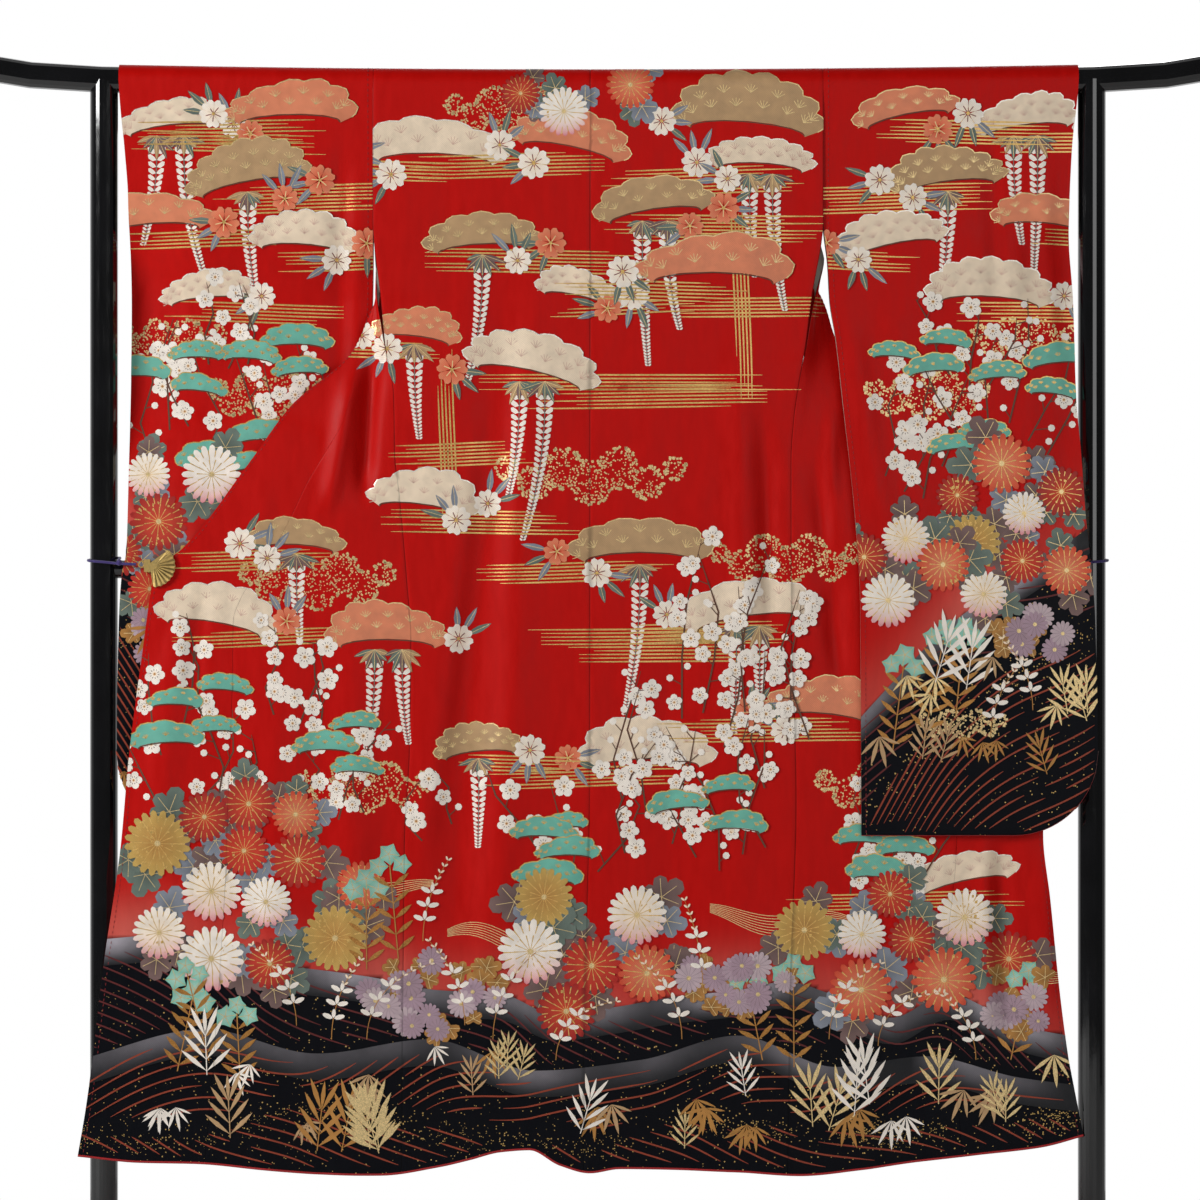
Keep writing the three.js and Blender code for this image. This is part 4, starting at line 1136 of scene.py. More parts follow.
def leaf(x, z, length, width, turn, fill, vein=SOFT_GILT):
    """A pointed leaf from its stalk, with a gilt vein."""
    half = [(0, 0), (0.42, 0.3), (0.5, 0.52), (0.27, 0.82), (0, 1)]
    shapes = []
    for flip, shade in ((1, 1.0), (-1, 0.8)):
        outline = [(flip * a * width, b * length) for a, b in half]
        shapes.append((turned(outline, x, z, turn), tuple(c * shade for c in fill), 0, False))
    shapes += ribbon(turned([(0, 0), (0, length * 0.9)], x, z, turn), 0.7, vein, 1, True)
    return shapes


def lobed_leaf(x, z, r, turn, fill, vein=SOFT_GILT):
    """A broad leaf with five rounded lobes, as on a chrysanthemum."""
    rim = []
    middles = [turn + math.radians(-116 + 58 * k) for k in range(5)]
    for middle, long in zip(middles, (0.86, 0.96, 1.15, 0.96, 0.86)):
        reach = r * long
        for lean, share in ((-0.5, 0.74), (-0.3, 0.96), (0, 1.04), (0.3, 0.96), (0.5, 0.74)):
            a = middle + lean
            rim.append((x - math.sin(a) * reach * share, z + math.cos(a) * reach * share))
    rim.append((x + math.sin(turn) * r * 0.3, z - math.cos(turn) * r * 0.3))
    tone = radial(x, z, r, tuple(c * 0.6 for c in fill), fill)
    shapes = [(triangle, tone, 0, False) for triangle in fan_out((x, z), rim)]
    for middle in middles:
        tip = (x - math.sin(middle) * r * 0.86, z + math.cos(middle) * r * 0.86)
        shapes += ribbon([(x, z), tip], 0.8, vein, 1, True)
    return shapes


BLADE = [(0, 0), (0.05, 0.3), (0.072, 0.52), (0.045, 0.8), (0, 1), (-0.045, 0.8), (-0.072, 0.52),
         (-0.05, 0.3)]
WIDE_BLADE = [(a * 1.5, b) for a, b in BLADE]


def spray(x, z, length, turn, count, spread, fill, gilt):
    """Slender leaves fanned from one point, as on bamboo."""
    shapes = []
    for k in range(count):
        share = (k + 0.5) / count * 2 - 1
        reach = length * (1 - 0.3 * abs(share)) * (0.92 + 0.08 * math.cos(7 * k))
        shapes.append((turned(BLADE, x, z, turn + share * spread, reach), fill, k % 2, gilt))
    return shapes


def tuft(x, z, height, lean, fill, gilt):
    """Grass: pairs of slender blades up a stem, and one at its tip."""
    shapes = ribbon(turned([(0, 0), (0, height * 0.7)], x, z, lean), 1.4, fill, 0, gilt)
    for k in range(4):
        px, pz = turned([(0, height * (0.06 + 0.18 * k))], x, z, lean)[0]
        for flip in (1, -1):
            blade = turned(BLADE, px, pz, lean + flip * (0.85 - 0.14 * k), height * 0.52)
            shapes.append((blade, fill, k % 2, gilt))
    tip = turned([(0, height * 0.6)], x, z, lean)[0]
    shapes.append((turned(BLADE, *tip, lean, height * 0.45), fill, 0, gilt))
    return shapes


def wisteria(x, z, length, sway):
    """A hanging string of paired petals that dwindle to buds."""
    petal = [(0.03, 0.0), (0.42, -0.12), (0.85, 0.18), (0.9, 0.55), (0.62, 0.62), (0.2, 0.3)]
    drop = 0.0
    path = [(x, z)]
    shapes = []
    while drop < length:
        share = drop / length
        size = lerp(14.5, 5.0, share)
        drop += size * 0.74
        px, pz = x + sway * share ** 2 * length, z - drop
        path.append((px, pz))
        for flip in (1, -1):
            outline = [(flip * a * size, b * size) for a, b in petal]
            shapes.append((turned(outline, px, pz, 0), WHITE, 1, False))
    return ribbon(path, 1.2, SAGE, 0) + shapes


def pine_cloud(x, z, width, fill, line, lobes=8, tilt=0.0, arch=0.32, skew=0.0):
    """A pine crown drawn as a bowed cloud with a lobed top, worked with small fans."""
    top, foot = [], []
    for k in range(lobes):
        for share in (0.0, 0.2, 0.5, 0.8):
            t = (k + share) / lobes
            swell = 1 + 0.12 * math.sin(math.pi * share)
            a = math.pi * (1.04 - 1.08 * t)
            rise = math.sin(a) * arch * (1 + skew * math.cos(a))
            top.append((math.cos(a) * width * 0.5 * swell, (rise - 0.02) * width * swell))
            hollow = (math.sin(a) * 0.07 - 0.07) * width
            foot.append((math.cos(a) * width * 0.41, hollow - 0.02 * width * swell))
    top.append((width * 0.5, -width * 0.06))
    foot.append((width * 0.41, -width * 0.1))
    top, foot = turned(top, x, z, tilt), turned(foot, x, z, tilt)
    tone = radial(x, z + width * 0.34, width * 0.6, fill, tuple(c * 0.86 for c in fill))
    relief = FAN_LINE if fill == CREAM else line
    shapes = []
    for a, b, c, d in zip(top, top[1:], foot[1:], foot):
        shapes += [([a, b, c], tone, 0, False), ([a, c, d], tone, 0, False)]
    shapes += ribbon(top, 1.6, line, 1, True)
    shapes += ribbon([(px, pz - 1) for px, pz in foot[::3]], 1.5, BROWN, 1)
    for row, share in enumerate((0.28, 0.62)):
        for k in range(lobes - 1):
            i = 4 * k + 4 if row else 4 * k + 2
            fx, fz = (lerp(foot[i][n], top[i][n], share) for n in (0, 1))
            out = math.atan2(-(top[i][0] - foot[i][0]), top[i][1] - foot[i][1])
            for ray in (-0.9, -0.45, 0, 0.45, 0.9):
                tip = turned([(0, width * 0.06)], fx, fz, out + ray)[0]
                shapes += ribbon([(fx, fz), tip], 0.9, relief, 1, fill != CREAM)
    return shapes


def haze(x, z, width, count, rng, upright=False):
    """A bundle of thin gilt bars, evenly spaced, with stepped ends."""
    shapes = []
    swing = rng.uniform(-5, 5)
    for k in range(count):
        offset = (k - (count - 1) / 2) * 5.2
        start = -width / 2 + rng.choice((0, 0.05, 0.12, 0.2)) * width
        end = width / 2 - rng.choice((0, 0.06, 0.12, 0.2)) * width
        path = []
        for i in range(8):
            a = lerp(start, end, i / 7)
            b = offset + swing * math.sin(3 * a / width)
            path.append((x + b, z - a) if upright else (x + a, z + b))
        shapes += ribbon(path, 2.3, GILT, 0, True, (0.3, 0.3))
    return shapes


def stream(x, z, width, count, bend):
    """Flowing-water lines: close curves that swing together."""
    shapes = []
    for k in range(count):
        path = []
        for i in range(19):
            t = i / 18
            lift = math.sin(t * math.pi * 2 + bend) * 13 + k * 4.2 * (0.4 + 0.6 * math.sin(math.pi * t))
            path.append((x - width / 2 + width * t, z + lift - 24 * t))
        shapes += ribbon(path, 1.0, SOFT_GILT, 0, True)
    return shapes


def aster(x, z, r, turn, fill):
    shapes = [(disc(x, z, r * 0.8, 12), tuple(c * 0.7 for c in fill), 0, False)]
    for k in range(14):
        shapes.append((turned(WIDE_PETAL, x, z, turn + k * math.pi / 7, r), fill, 1, False))
    return shapes + [(disc(x, z, r * 0.16, 6), SOFT_GILT, 2, True)]


def bellflower(x, z, r, turn):
    rim = []
    for k in range(10):
        reach = r if k % 2 == 0 else r * 0.7
        rim += turned([(0, reach)], x, z, turn + k * math.pi / 5)
    tone = radial(x, z, r, mix3(TURQUOISE, WHITE, 0.35), TURQUOISE)
    shapes = [(t, tone, 0, False) for t in fan_out((x, z), rim)]
    for k in range(5):
        shapes += ribbon([(x, z), rim[2 * k]], 0.7, GILT, 1, True)
    return shapes


def dust_cloud(x, z, width, tall, rng):
    """Cut gold leaf strewn in a lobed cloud, thick along its rim and thin inside."""
    lobes = []
    for k in range(7):
        t = k / 6
        reach = tall * (0.5 + 0.45 * math.sin(math.pi * t))
        lobes.append((x + width * (t - 0.5), z + tall * 0.3 * (-1) ** k, reach))
    shapes = []
    for _ in range(int(width * tall / 3)):
        px, pz = x + width * rng.uniform(-0.7, 0.7), z + tall * rng.uniform(-1.3, 1.3)
        depth = max(r - math.hypot(px - cx, pz - cz) for cx, cz, r in lobes)
        if depth > 0 and rng.random() < 0.42 + math.exp(-depth / 9):
            size = rng.uniform(0.8, 1.5) + 1.6 * math.exp(-depth / 5)
            shapes.append((disc(px, pz, size, 4, rng.uniform(0, 1.5)), SOFT_GILT, 0, True))
    return shapes


# ------------------------------------------------------------------ where the motifs go
KIKU_DYES = (
    (VERMILION, SCARLET, None), (VERMILION, mix3(SCARLET, WINE, 0.4), None), (CORAL, VERMILION, None),
    (WHITE, WHITE, PINK), (CREAM, WHITE, PINK), (HONEY, OLIVE, None),
)


def kiku_bed(face, rng, x, z, wide, tall, count, size=(34, 48)):
    """Chrysanthemums crowded over their leaves."""
    spots = []
    for _ in range(count * 40):
        a, reach = rng.uniform(0, 2 * math.pi), math.sqrt(rng.random())
        r = rng.uniform(*size)
        px, pz = x + wide * reach * math.cos(a), z + tall * reach * math.sin(a)
        if len(spots) < count and all(math.hypot(px - q[0], pz - q[1]) > 0.86 * (r + q[2]) for q in spots):
            spots.append((px, pz, r))
    for px, pz, r in spots:
        for k in range(3):
            a = rng.uniform(0, 2 * math.pi)
            face.lay(lobed_leaf(px + math.cos(a) * r, pz + math.sin(a) * r, r * rng.uniform(0.55, 0.75),
                                a - math.pi / 2, rng.choice((SLATE, SAGE, MAUVE, MAUVE, SAGE))))
    for k, (px, pz, r) in enumerate(spots):
        face.lay(chrysanthemum(px, pz, r, rng.uniform(0, 1), *KIKU_DYES[(k * 5 + len(spots)) % 6]))


def cherry_spot(face, rng, x, z, r=21.0):
    """A white or coral blossom over a few slate leaves."""
    fill, heart = rng.choice(((WHITE, CREAM), (WHITE, CREAM), (CORAL, VERMILION)))
    turn = rng.uniform(0, 2 * math.pi)
    for k in range(3):
        a = turn + 0.6 * k
        px, pz = x + math.cos(a) * r * 0.6, z + math.sin(a) * r * 0.6
        face.lay(leaf(px, pz, r * rng.uniform(1.5, 2.0), r * 0.46, a - math.pi / 2,
                      rng.choice((SLATE, SAGE))))
    face.lay(cherry(x, z, r * rng.uniform(0.9, 1.1), turn, fill, heart, WINE if fill == WHITE else SOFT_GILT))


def plum_branch(face, rng, path, r=14.5):
    """A thin twig with round blossoms and buds to either side."""
    face.lay(ribbon(path, 2.4, BROWN, 0, False, (1, 0.3)))
    for (ax, az), (bx, bz) in zip(path, path[1:]):
        count = max(1, round(math.hypot(bx - ax, bz - az) / 26))
        for k in range(count):
            t = (k + rng.uniform(0.2, 0.8)) / count
            px, pz = lerp(ax, bx, t), lerp(az, bz, t)
            a = math.atan2(bz - az, bx - ax) + rng.choice((-1, 1)) * rng.uniform(0.6, 1.2)
            reach = rng.uniform(8, 26)
            qx, qz = px + math.cos(a) * reach, pz + math.sin(a) * reach
            face.lay(ribbon([(px, pz), (qx, qz)], 1.3, BROWN))
            if rng.random() < 0.66:
                face.lay(plum(qx, qz, r * rng.uniform(0.85, 1.15), rng.uniform(0, 1.2)))
            else:
                face.lay([(disc(qx, qz, r * 0.36, 7), WHITE, 0, False)])


def thicket(face, rng, x, z, wide, tall, count):
    """Plum twigs that climb out of one place."""
    for k in range(count):
        px = x + wide * ((k + 0.5) / count * 2 - 1) * 0.6
        pz = z + rng.uniform(-0.2, 0.2) * tall
        path = [(px, pz)]
        for _ in range(3):
            px += rng.uniform(-0.36, 0.36) * wide
            pz += tall * rng.uniform(0.25, 0.42)
            path.append((px, pz))
        plum_branch(face, rng, path)


def cluster(face, rng, x, z, width, fill, bars, falls, blossoms):
    """A pine cloud on gilt bars, with wisteria under it and blossoms about it."""
    lean = rng.choice((-1, 1))
    if bars:
        face.lay(haze(x + lean * width * 0.5, z - width * 0.18, width * rng.uniform(1.5, 2.0), bars, rng))
    for k, length in enumerate(falls):
        px, pz = x + (k - (len(falls) - 1) / 2) * rng.uniform(30, 44), z - width * 0.12
        face.lay(wisteria(px, pz - 14, length, rng.uniform(-0.16, 0.16)))
        for i in range(7):
            a = math.pi * (1.04 + 0.92 * (i + 0.5) / 7)
            face.lay(leaf(px, pz, rng.uniform(24, 38), 8.0, a - math.pi / 2,
                          rng.choice((TAUPE, SAGE, MAUVE))))
    width *= rng.uniform(0.84, 1.2)
    face.lay(pine_cloud(x, z, width, fill, WHITE if fill == CREAM else SOFT_GILT, rng.choice((6, 7, 8, 9)),
                        rng.uniform(-0.24, 0.24), rng.uniform(0.22, 0.34), rng.uniform(-0.35, 0.35)))
    for k in range(blossoms):
        cherry_spot(face, rng, x + lean * width * (0.62 - 0.3 * k), z - width * (0.02 + 0.16 * (k % 2)))


def pine_group(face, rng, x, z, count):
    """Small turquoise crowns in steps."""
    for k in range(count):
        side = (-1) ** k
        px, pz = x + side * rng.uniform(10, 56), z - 24 * k + rng.uniform(-9, 9)
        face.lay(pine_cloud(px, pz, rng.uniform(62, 100), TURQUOISE, GILT, rng.choice((5, 6, 7)),
                            rng.uniform(-0.14, 0.14), 0.28, rng.uniform(-0.3, 0.3)))


def aster_bank(face, rng, x, z, wide, tall, count):
    for k in range(2 * count):
        a, reach = rng.uniform(0, 2 * math.pi), math.sqrt(rng.random())
        px, pz = x + wide * reach * math.cos(a), z + tall * reach * math.sin(a)
        if k < count:
            face.lay(lobed_leaf(px, pz, rng.uniform(13, 19), rng.uniform(0, 6), HONEY))
        else:
            fill = mix3(LAVENDER, rng.choice((WHITE, MAUVE)), rng.uniform(0, 0.25))
            face.lay(aster(px, pz, rng.uniform(16, 22), rng.uniform(0, 1), fill))


def white_sprig(face, x, z, length, lean):
    """Paired oval leaves up a curved stalk that ends in a spike of leaflets."""
    oval = [(0, 0.06), (0.16, 0.25), (0.21, 0.55), (0.14, 0.88), (0, 1), (-0.14, 0.88), (-0.21, 0.55),
            (-0.16, 0.25)]
    path = []
    for i in range(13):
        t = i / 12
        path.append((x + math.sin(lean * t) * length * t, z + math.cos(lean * t) * length * t))
    shapes = ribbon(path, 1.1, HONEY, 0, False, (1, 0.4))
    for i in (3, 5, 7):
        for flip in (1, 0, -1):
            size = 17 if flip else 14
            shapes.append((turned(oval, *path[i], -lean * i / 12 - flip * 1.25, size), WHITE, 1, False))
    for i in range(8, 13):
        for flip in (1, -1):
            shapes.append((turned(oval, *path[i], -lean * i / 12 - flip * 0.7, 7), CREAM, 1, False))
    face.lay(shapes)


def bell_stalk(face, rng, x, z, height):
    """A leafy stalk with a few bellflowers at its top."""
    lean = rng.uniform(-0.25, 0.25)
    shapes = ribbon(turned([(0, 0), (0, height)], x, z, lean), 1.6, HONEY, 0, False)
    for k in range(5):
        px, pz = turned([(0, height * (0.08 + 0.15 * k))], x, z, lean)[0]
        for flip in (1, -1):
            shapes.append((turned(WIDE_BLADE, px, pz, lean + flip * 0.95, 32), HONEY, 1, True))
    face.lay(shapes)
    for k in range(3):
        px, pz = turned([((k - 1) * 17, height - 16 * abs(k - 1))], x, z, lean)[0]
        face.lay(bellflower(px, pz, rng.uniform(14, 18), rng.uniform(0, 1.2)))


def grasses(face, rng, x0, x1, count, foot):
    for k in range(count):
        x = lerp(x0, x1, (k + rng.uniform(0.0, 1.0)) / count)
        fill, gilt = rng.choice(((HONEY, False), (TAUPE, False), (WHITE, False), (SOFT_GILT, True)))
        up = rng.uniform(14, 130)
        size = rng.uniform(0.6, 1.15)
        for _ in range(rng.choice((1, 1, 2, 3))):
            px, pz = x + rng.uniform(-26, 26), foot(x) + up + rng.uniform(-14, 14)
            if k % 2:
                face.lay(tuft(px, pz, 88 * size, rng.uniform(-0.3, 0.3), fill, gilt))
            else:
                face.lay(spray(px, pz + 44, 50 * size, math.pi + rng.uniform(-0.5, 0.5), 5, 1.25, fill, gilt))


CREST_STEP = 8        # width of the strips that follow a crest
CREST_FADE = 38       # depth over which its pale edge fades
LINE_GAP = 17         # between a hill's lines
LINE_STEP = 10        # between a line's points


def hill(face, rng, x0, x1, crest, floor, slope, tone, pale):
    """A pale edge along a hill's crest, and swinging lines side by side down to the floor."""
    if pale:
        shapes = []
        navy = tuple(bpy.context.scene.furisode.navy)

        def shade(px, pz):
            down = crest(px) - pz
            return mix3(mix3(navy, PALE_CREST, pale(px)), navy, smooth(down / CREST_FADE))

        x = x0
        while x < x1:
            after = x + CREST_STEP
            for low, high in ((0, 7), (7, 18), (18, CREST_FADE)):
                shapes.append(([(x, crest(x) - low), (after, crest(after) - low),
                                (after, crest(after) - high), (x, crest(x) - high)], shade, 0, False))
            x = after
        face.lay(shapes)
    top = 60 + abs(slope) * (x1 - x0)
    for k in range(int(2 * top / LINE_GAP) + 20):
        runs = [[]]
        rest = rng.randint(14, 44)
        for i in range(int((x1 - x0) / LINE_STEP) + 1):
            px = x0 + LINE_STEP * i
            pz = crest(px) + top - LINE_GAP * k + slope * (px - x0) + 26 * math.sin(px / 96 + slope * 9)
            rest -= 1
            if floor(px) + 5 < pz < crest(px) - 16 and rest > 0:
                runs[-1].append((px, pz))
            else:
                runs.append([])
                rest = rng.randint(14, 44) if rest < 0 else rest
        for path in runs:
            if len(path) > 3:
                face.lay(ribbon(path, 2.4, tone, 0, False, (0.3, 0.3)))


def pale_crest(px):
    return clamp01(0.5 + 1.1 * noise.noise(Vector((px / 130, 0, 4))))


# Where the motifs lie. x is from the middle plane (on a sleeve, outwards), z is the height.
BODY_LAYOUT = {
    # x, z, width, bars in the lower bundle, upright
    "bars": (
        (60, 1268, 460, 7, False), (205, 1395, 300, 6, True), (-215, 1185, 260, 7, True),
        (90, 905, 380, 7, False)),
    # x, z, width, height
    "dust": (
        (-10, 1135, 240, 34), (-400, 985, 190, 34), (270, 1015, 190, 30), (-120, 1655, 170, 30),
        (-330, 690, 170, 30), (420, 690, 190, 30)),
    # x, z, width, colour, gilt bars, lengths of wisteria, cherry blossoms
    "clouds": (
        (-232, 1600, 165, CREAM, 6, (), 2), (-40, 1610, 180, CORAL, 7, (), 2),
        (215, 1645, 175, TAUPE, 0, (), 1),
        (232, 1585, 165, CREAM, 8, (130, 180), 2), (80, 1520, 180, TAUPE, 8, (190, 140), 2),
        (-165, 1470, 165, TAUPE, 7, (170,), 2), (-25, 1395, 120, CREAM, 4, (), 2),
        (165, 1430, 175, CORAL, 6, (), 1), (-262, 1338, 130, CORAL, 5, (120,), 2),
        (-95, 1290, 175, CREAM, 0, (150, 210), 1), (-250, 1098, 165, CREAM, 7, (), 2),
        (-430, 1040, 150, TAUPE, 6, (110,), 2), (60, 1030, 185, TAUPE, 6, (200,), 2),
        (-545, 930, 150, CREAM, 5, (), 1), (215, 940, 165, CREAM, 6, (140, 100), 1),
        (-300, 905, 155, CORAL, 0, (170, 120), 1), (70, 735, 170, CREAM, 6, (), 1),
        (320, 800, 160, CORAL, 7, (), 2), (-170, 745, 120, TAUPE, 5, (110,), 1),
        (520, 560, 180, CREAM, 5, (), 1)),
    # x, z, half width, half height, flowers, least and greatest radius
    "high_beds": ((-25, 1678, 92, 26, 6, (28, 36)),),
    # x, z, half width, height, twigs
    "thickets": (
        (165, 790, 100, 250, 4), (270, 720, 80, 200, 3), (70, 640, 90, 170, 3), (-590, 760, 80, 130, 3),
        (-430, 780, 80, 120, 3), (-560, 640, 110, 150, 4), (-370, 640, 90, 130, 3), (-20, 570, 130, 150, 4),
        (190, 590, 110, 190, 4), (410, 560, 110, 150, 4), (-230, 620, 70, 90, 2)),
    # x, z, crowns
    "pines": ((-560, 830, 4), (-360, 770, 3), (-60, 640, 4), (170, 690, 3), (420, 640, 4)),
    # x, z, width, lines, phase
    "streams": (
        (-120, 470, 190, 7, 0.5), (265, 500, 210, 8, 2.1), (-330, 560, 190, 6, 1.2), (600, 440, 170, 6, 0.2)),
    # as the high beds; the radii are given only where they differ from the usual
    "beds": (
        (-500, 545, 165, 125, 20), (-20, 455, 140, 88, 14), (450, 470, 165, 84, 15)),
    # x, z, height
    "bells": (
        (-330, 430, 130), (-285, 445, 150), (-600, 285, 120), (-555, 300, 140), (-510, 270, 110),
        (235, 300, 130), (280, 290, 150), (590, 300, 130)),
    # x, z, half width, half height, flowers
    "asters": ((-235, 395, 96, 62, 15), (200, 420, 80, 56, 12), (600, 385, 60, 46, 8)),
    # x, z, length, lean
    "sprigs": (
        (-430, 350, 130, -0.5), (-380, 330, 120, 0.35), (-330, 330, 140, 0.7), (-150, 330, 150, 0.5),
        (-190, 350, 130, -0.4), (-60, 300, 120, 0.8), (120, 330, 130, -0.5), (150, 400, 130, -0.2),
        (330, 330, 130, 0.6), (400, 320, 120, 0.9), (540, 300, 110, -0.5), (-250, 470, 120, 0.3)),
}
SLEEVE_LAYOUT = {
    "dust": ((470, 1250, 150, 30), (610, 1330, 130, 26), (520, 780, 110, 18)),
    "clouds": (
        (610, 1640, 165, CREAM, 6, (140, 190), 1), (440, 1655, 165, CORAL, 7, (), 2),
        (500, 1560, 165, TAUPE, 8, (150,), 2), (640, 1500, 150, CORAL, 5, (), 1),
        (420, 1470, 150, CREAM, 6, (), 2), (560, 1395, 150, CREAM, 6, (), 1)),
    "thickets": ((600, 1180, 90, 150, 4), (450, 1130, 90, 170, 4), (530, 1280, 70, 110, 3)),
    "pines": ((455, 1330, 3), (625, 1300, 3), (520, 1190, 3)),
    "beds": ((590, 1060, 100, 104, 12, (31, 44)), (440, 1020, 66, 80, 6, (30, 42))),
    "bells": ((420, 740, 140), (465, 760, 160), (510, 790, 130)),
    "asters": ((610, 905, 56, 34, 7),),
    "sprigs": ((560, 760, 120, 0.4), (620, 800, 110, -0.4)),
}
BODY_REACH = (-745, 700)          # x of the spread skirt's two ends
SLEEVE_REACH = (368, 712)         # of a sleeve's two edges, outwards
HILL_LINE_CLEAR = 3               # the lines end this far above the hem


def lay_layout(face, rng, sign, layout):
    """Lays a layout's motifs kind by kind, each kind over those before it; sign mirrors them."""
    def rows(kind):
        return ((sign * row[0], *row[1:]) for row in layout.get(kind, ()))

    for x, z, width, count, upright in rows("bars"):
        face.lay(haze(x, z, width, 5, rng, upright) + haze(x + 20, z - 20, width * 0.8, count, rng))
    for row in rows("dust"):
        face.lay(dust_cloud(*row, rng))
    for kind, draw in (("clouds", cluster), ("high_beds", kiku_bed), ("thickets", thicket),
                       ("pines", pine_group), ("streams", stream), ("beds", kiku_bed),
                       ("bells", bell_stalk), ("asters", aster_bank)):
        for row in rows(kind):
            if draw is stream:
                face.lay(stream(*row))
            else:
                draw(face, rng, *row)
    for x, z, length, lean in rows("sprigs"):
        white_sprig(face, x, z, length, lean * sign)


def body_pattern(face, rng):
    def hem(x):
        return hem_height(x) + HILL_LINE_CLEAR

    def near_pale(x):
        return 0.45 * pale_crest(x + 300)

    hill(face, rng, *BODY_REACH, FAR_HILL, NEAR_HILL, -0.36, MAROON, pale_crest)
    hill(face, rng, *BODY_REACH, NEAR_HILL, FRONT_HILL, 0.3, BRICK, near_pale)
    hill(face, rng, *BODY_REACH, FRONT_HILL, hem, -0.4, BRICK, None)
    lay_layout(face, rng, 1, BODY_LAYOUT)
    grasses(face, rng, -660, 660, 27, hem_height)


def sleeve_pattern(face, side, rng):
    def near(x):
        return sleeve_crest(x) - NEAR_SLEEVE_HILL + 24 * math.sin(x / 70)

    s = side.sign
    x0, x1 = sorted(s * reach for reach in SLEEVE_REACH)
    hill(face, rng, x0, x1, sleeve_crest, near, -0.3 * s, MAROON, pale_crest)
    hill(face, rng, x0, x1, near, lambda x: SLEEVE_BOTTOM - 2, 0.34 * s, BRICK, None)
    lay_layout(face, rng, s, SLEEVE_LAYOUT)
    lower, upper = sorted((s * 385, s * 690))
    for count, rise in ((5, 10), (4, 120)):
        grasses(face, rng, lower, upper, count, lambda x: SLEEVE_BOTTOM + rise)


def shoulder_pattern(face, rng):
    """The fronts where they hang behind the back."""
    for s, fill in ((-1, CREAM), (1, CORAL)):
        cluster(face, rng, s * 235, 1600, 130, fill, 6, (), 2)
        cluster(face, rng, s * 262, 1505, 110, TAUPE, 5, (90,), 1)


# ------------------------------------------------------------------ the studio
def pale_floor_material():
    m = Nodes("pale_floor")
    grain = m.noise(m.object_place(), 30, 5)
    m.feed(Base_Color=m.mix(grain, (0.72, 0.72, 0.71), (0.8, 0.8, 0.79)))
    m.set(Roughness=0.7)
    return m.material


def area_light(name, place, aim, size, power):
    light = bpy.data.lights.new(name, "AREA")
    light.shape = "RECTANGLE"
    light.size, light.size_y = size
    light.energy = power
    lamp = bpy.data.objects.new(name, light)
    lamp.location = place
    lamp.rotation_euler = (Vector(aim) - Vector(place)).to_track_quat("-Z", "Y").to_euler()
    bpy.context.scene.collection.objects.link(lamp)


class FurisodeSettings(bpy.types.PropertyGroup):
    """Sizes and colours that a user would change."""
    grid_step: bpy.props.FloatProperty(
        name="Cloth Grid", description="Distance between the points of the cloth", default=0.0072,
        min=0.004, max=0.02, unit="LENGTH")
    red: bpy.props.FloatVectorProperty(
        name="Red", description="Ground colour of the silk", default=(0.5, 0.0035, 0.0022),
        subtype="COLOR", min=0, max=1)
    deep_red: bpy.props.FloatVectorProperty(
        name="Deep Red", description="Ground colour above the hills", default=(0.36, 0.0025, 0.004),
        subtype="COLOR", min=0, max=1)
    navy: bpy.props.FloatVectorProperty(
        name="Navy", description="Colour of the dark hills", default=(0.0022, 0.0026, 0.0048),
        subtype="COLOR", min=0, max=1)
    mist: bpy.props.FloatVectorProperty(
        name="Mist", description="Pale dye along the crest of the hills", default=(0.62, 0.13, 0.1),
        subtype="COLOR", min=0, max=1)
    gold: bpy.props.FloatVectorProperty(
        name="Gold", description="Colour of the gold leaf and dust", default=(0.62, 0.41, 0.14),
        subtype="COLOR", min=0, max=1)
    hem_roll: bpy.props.FloatProperty(
        name="Hem Roll", description="Radius of the padded edge along the hem", default=0.0018, min=0.001,
        max=0.004, unit="LENGTH")
    stitch_spacing: bpy.props.FloatProperty(
        name="Stitch Spacing", description="Distance between the stitches along the open edges",
        default=0.0075, min=0.005, max=0.02, unit="LENGTH")
    lens: bpy.props.FloatProperty(
        name="Lens", description="Focal length of the camera", default=188.6, min=20, max=400,
        unit="CAMERA")


class FurisodeOperator:
    """What the operators share."""
    bl_options = {"REGISTER", "UNDO"}

    @property
    def settings(self):
        return bpy.context.scene.furisode


PANELS = {}
PATTERNS = {}
TRIMS = {}
# Flat width and length of each piece of cloth in metres, and its area where it isn't a rectangle
CUTS = {
    "back_left": (0.311, 1.67, 0.455), "back_right": (0.334, 1.67, 0.5),
    "front_left": (0.285, 1.52, 0.29), "front_right": (0.285, 1.52, 0.272),
    "okumi_left": (0.185, 1.32, 0.158), "okumi_right": (0.185, 1.32, 0.143),
    "sleeve_left": (0.335, 2.24, None), "sleeve_right": (0.345, 2.24, None),
    "collar": (0.056, 1.8, None),
}


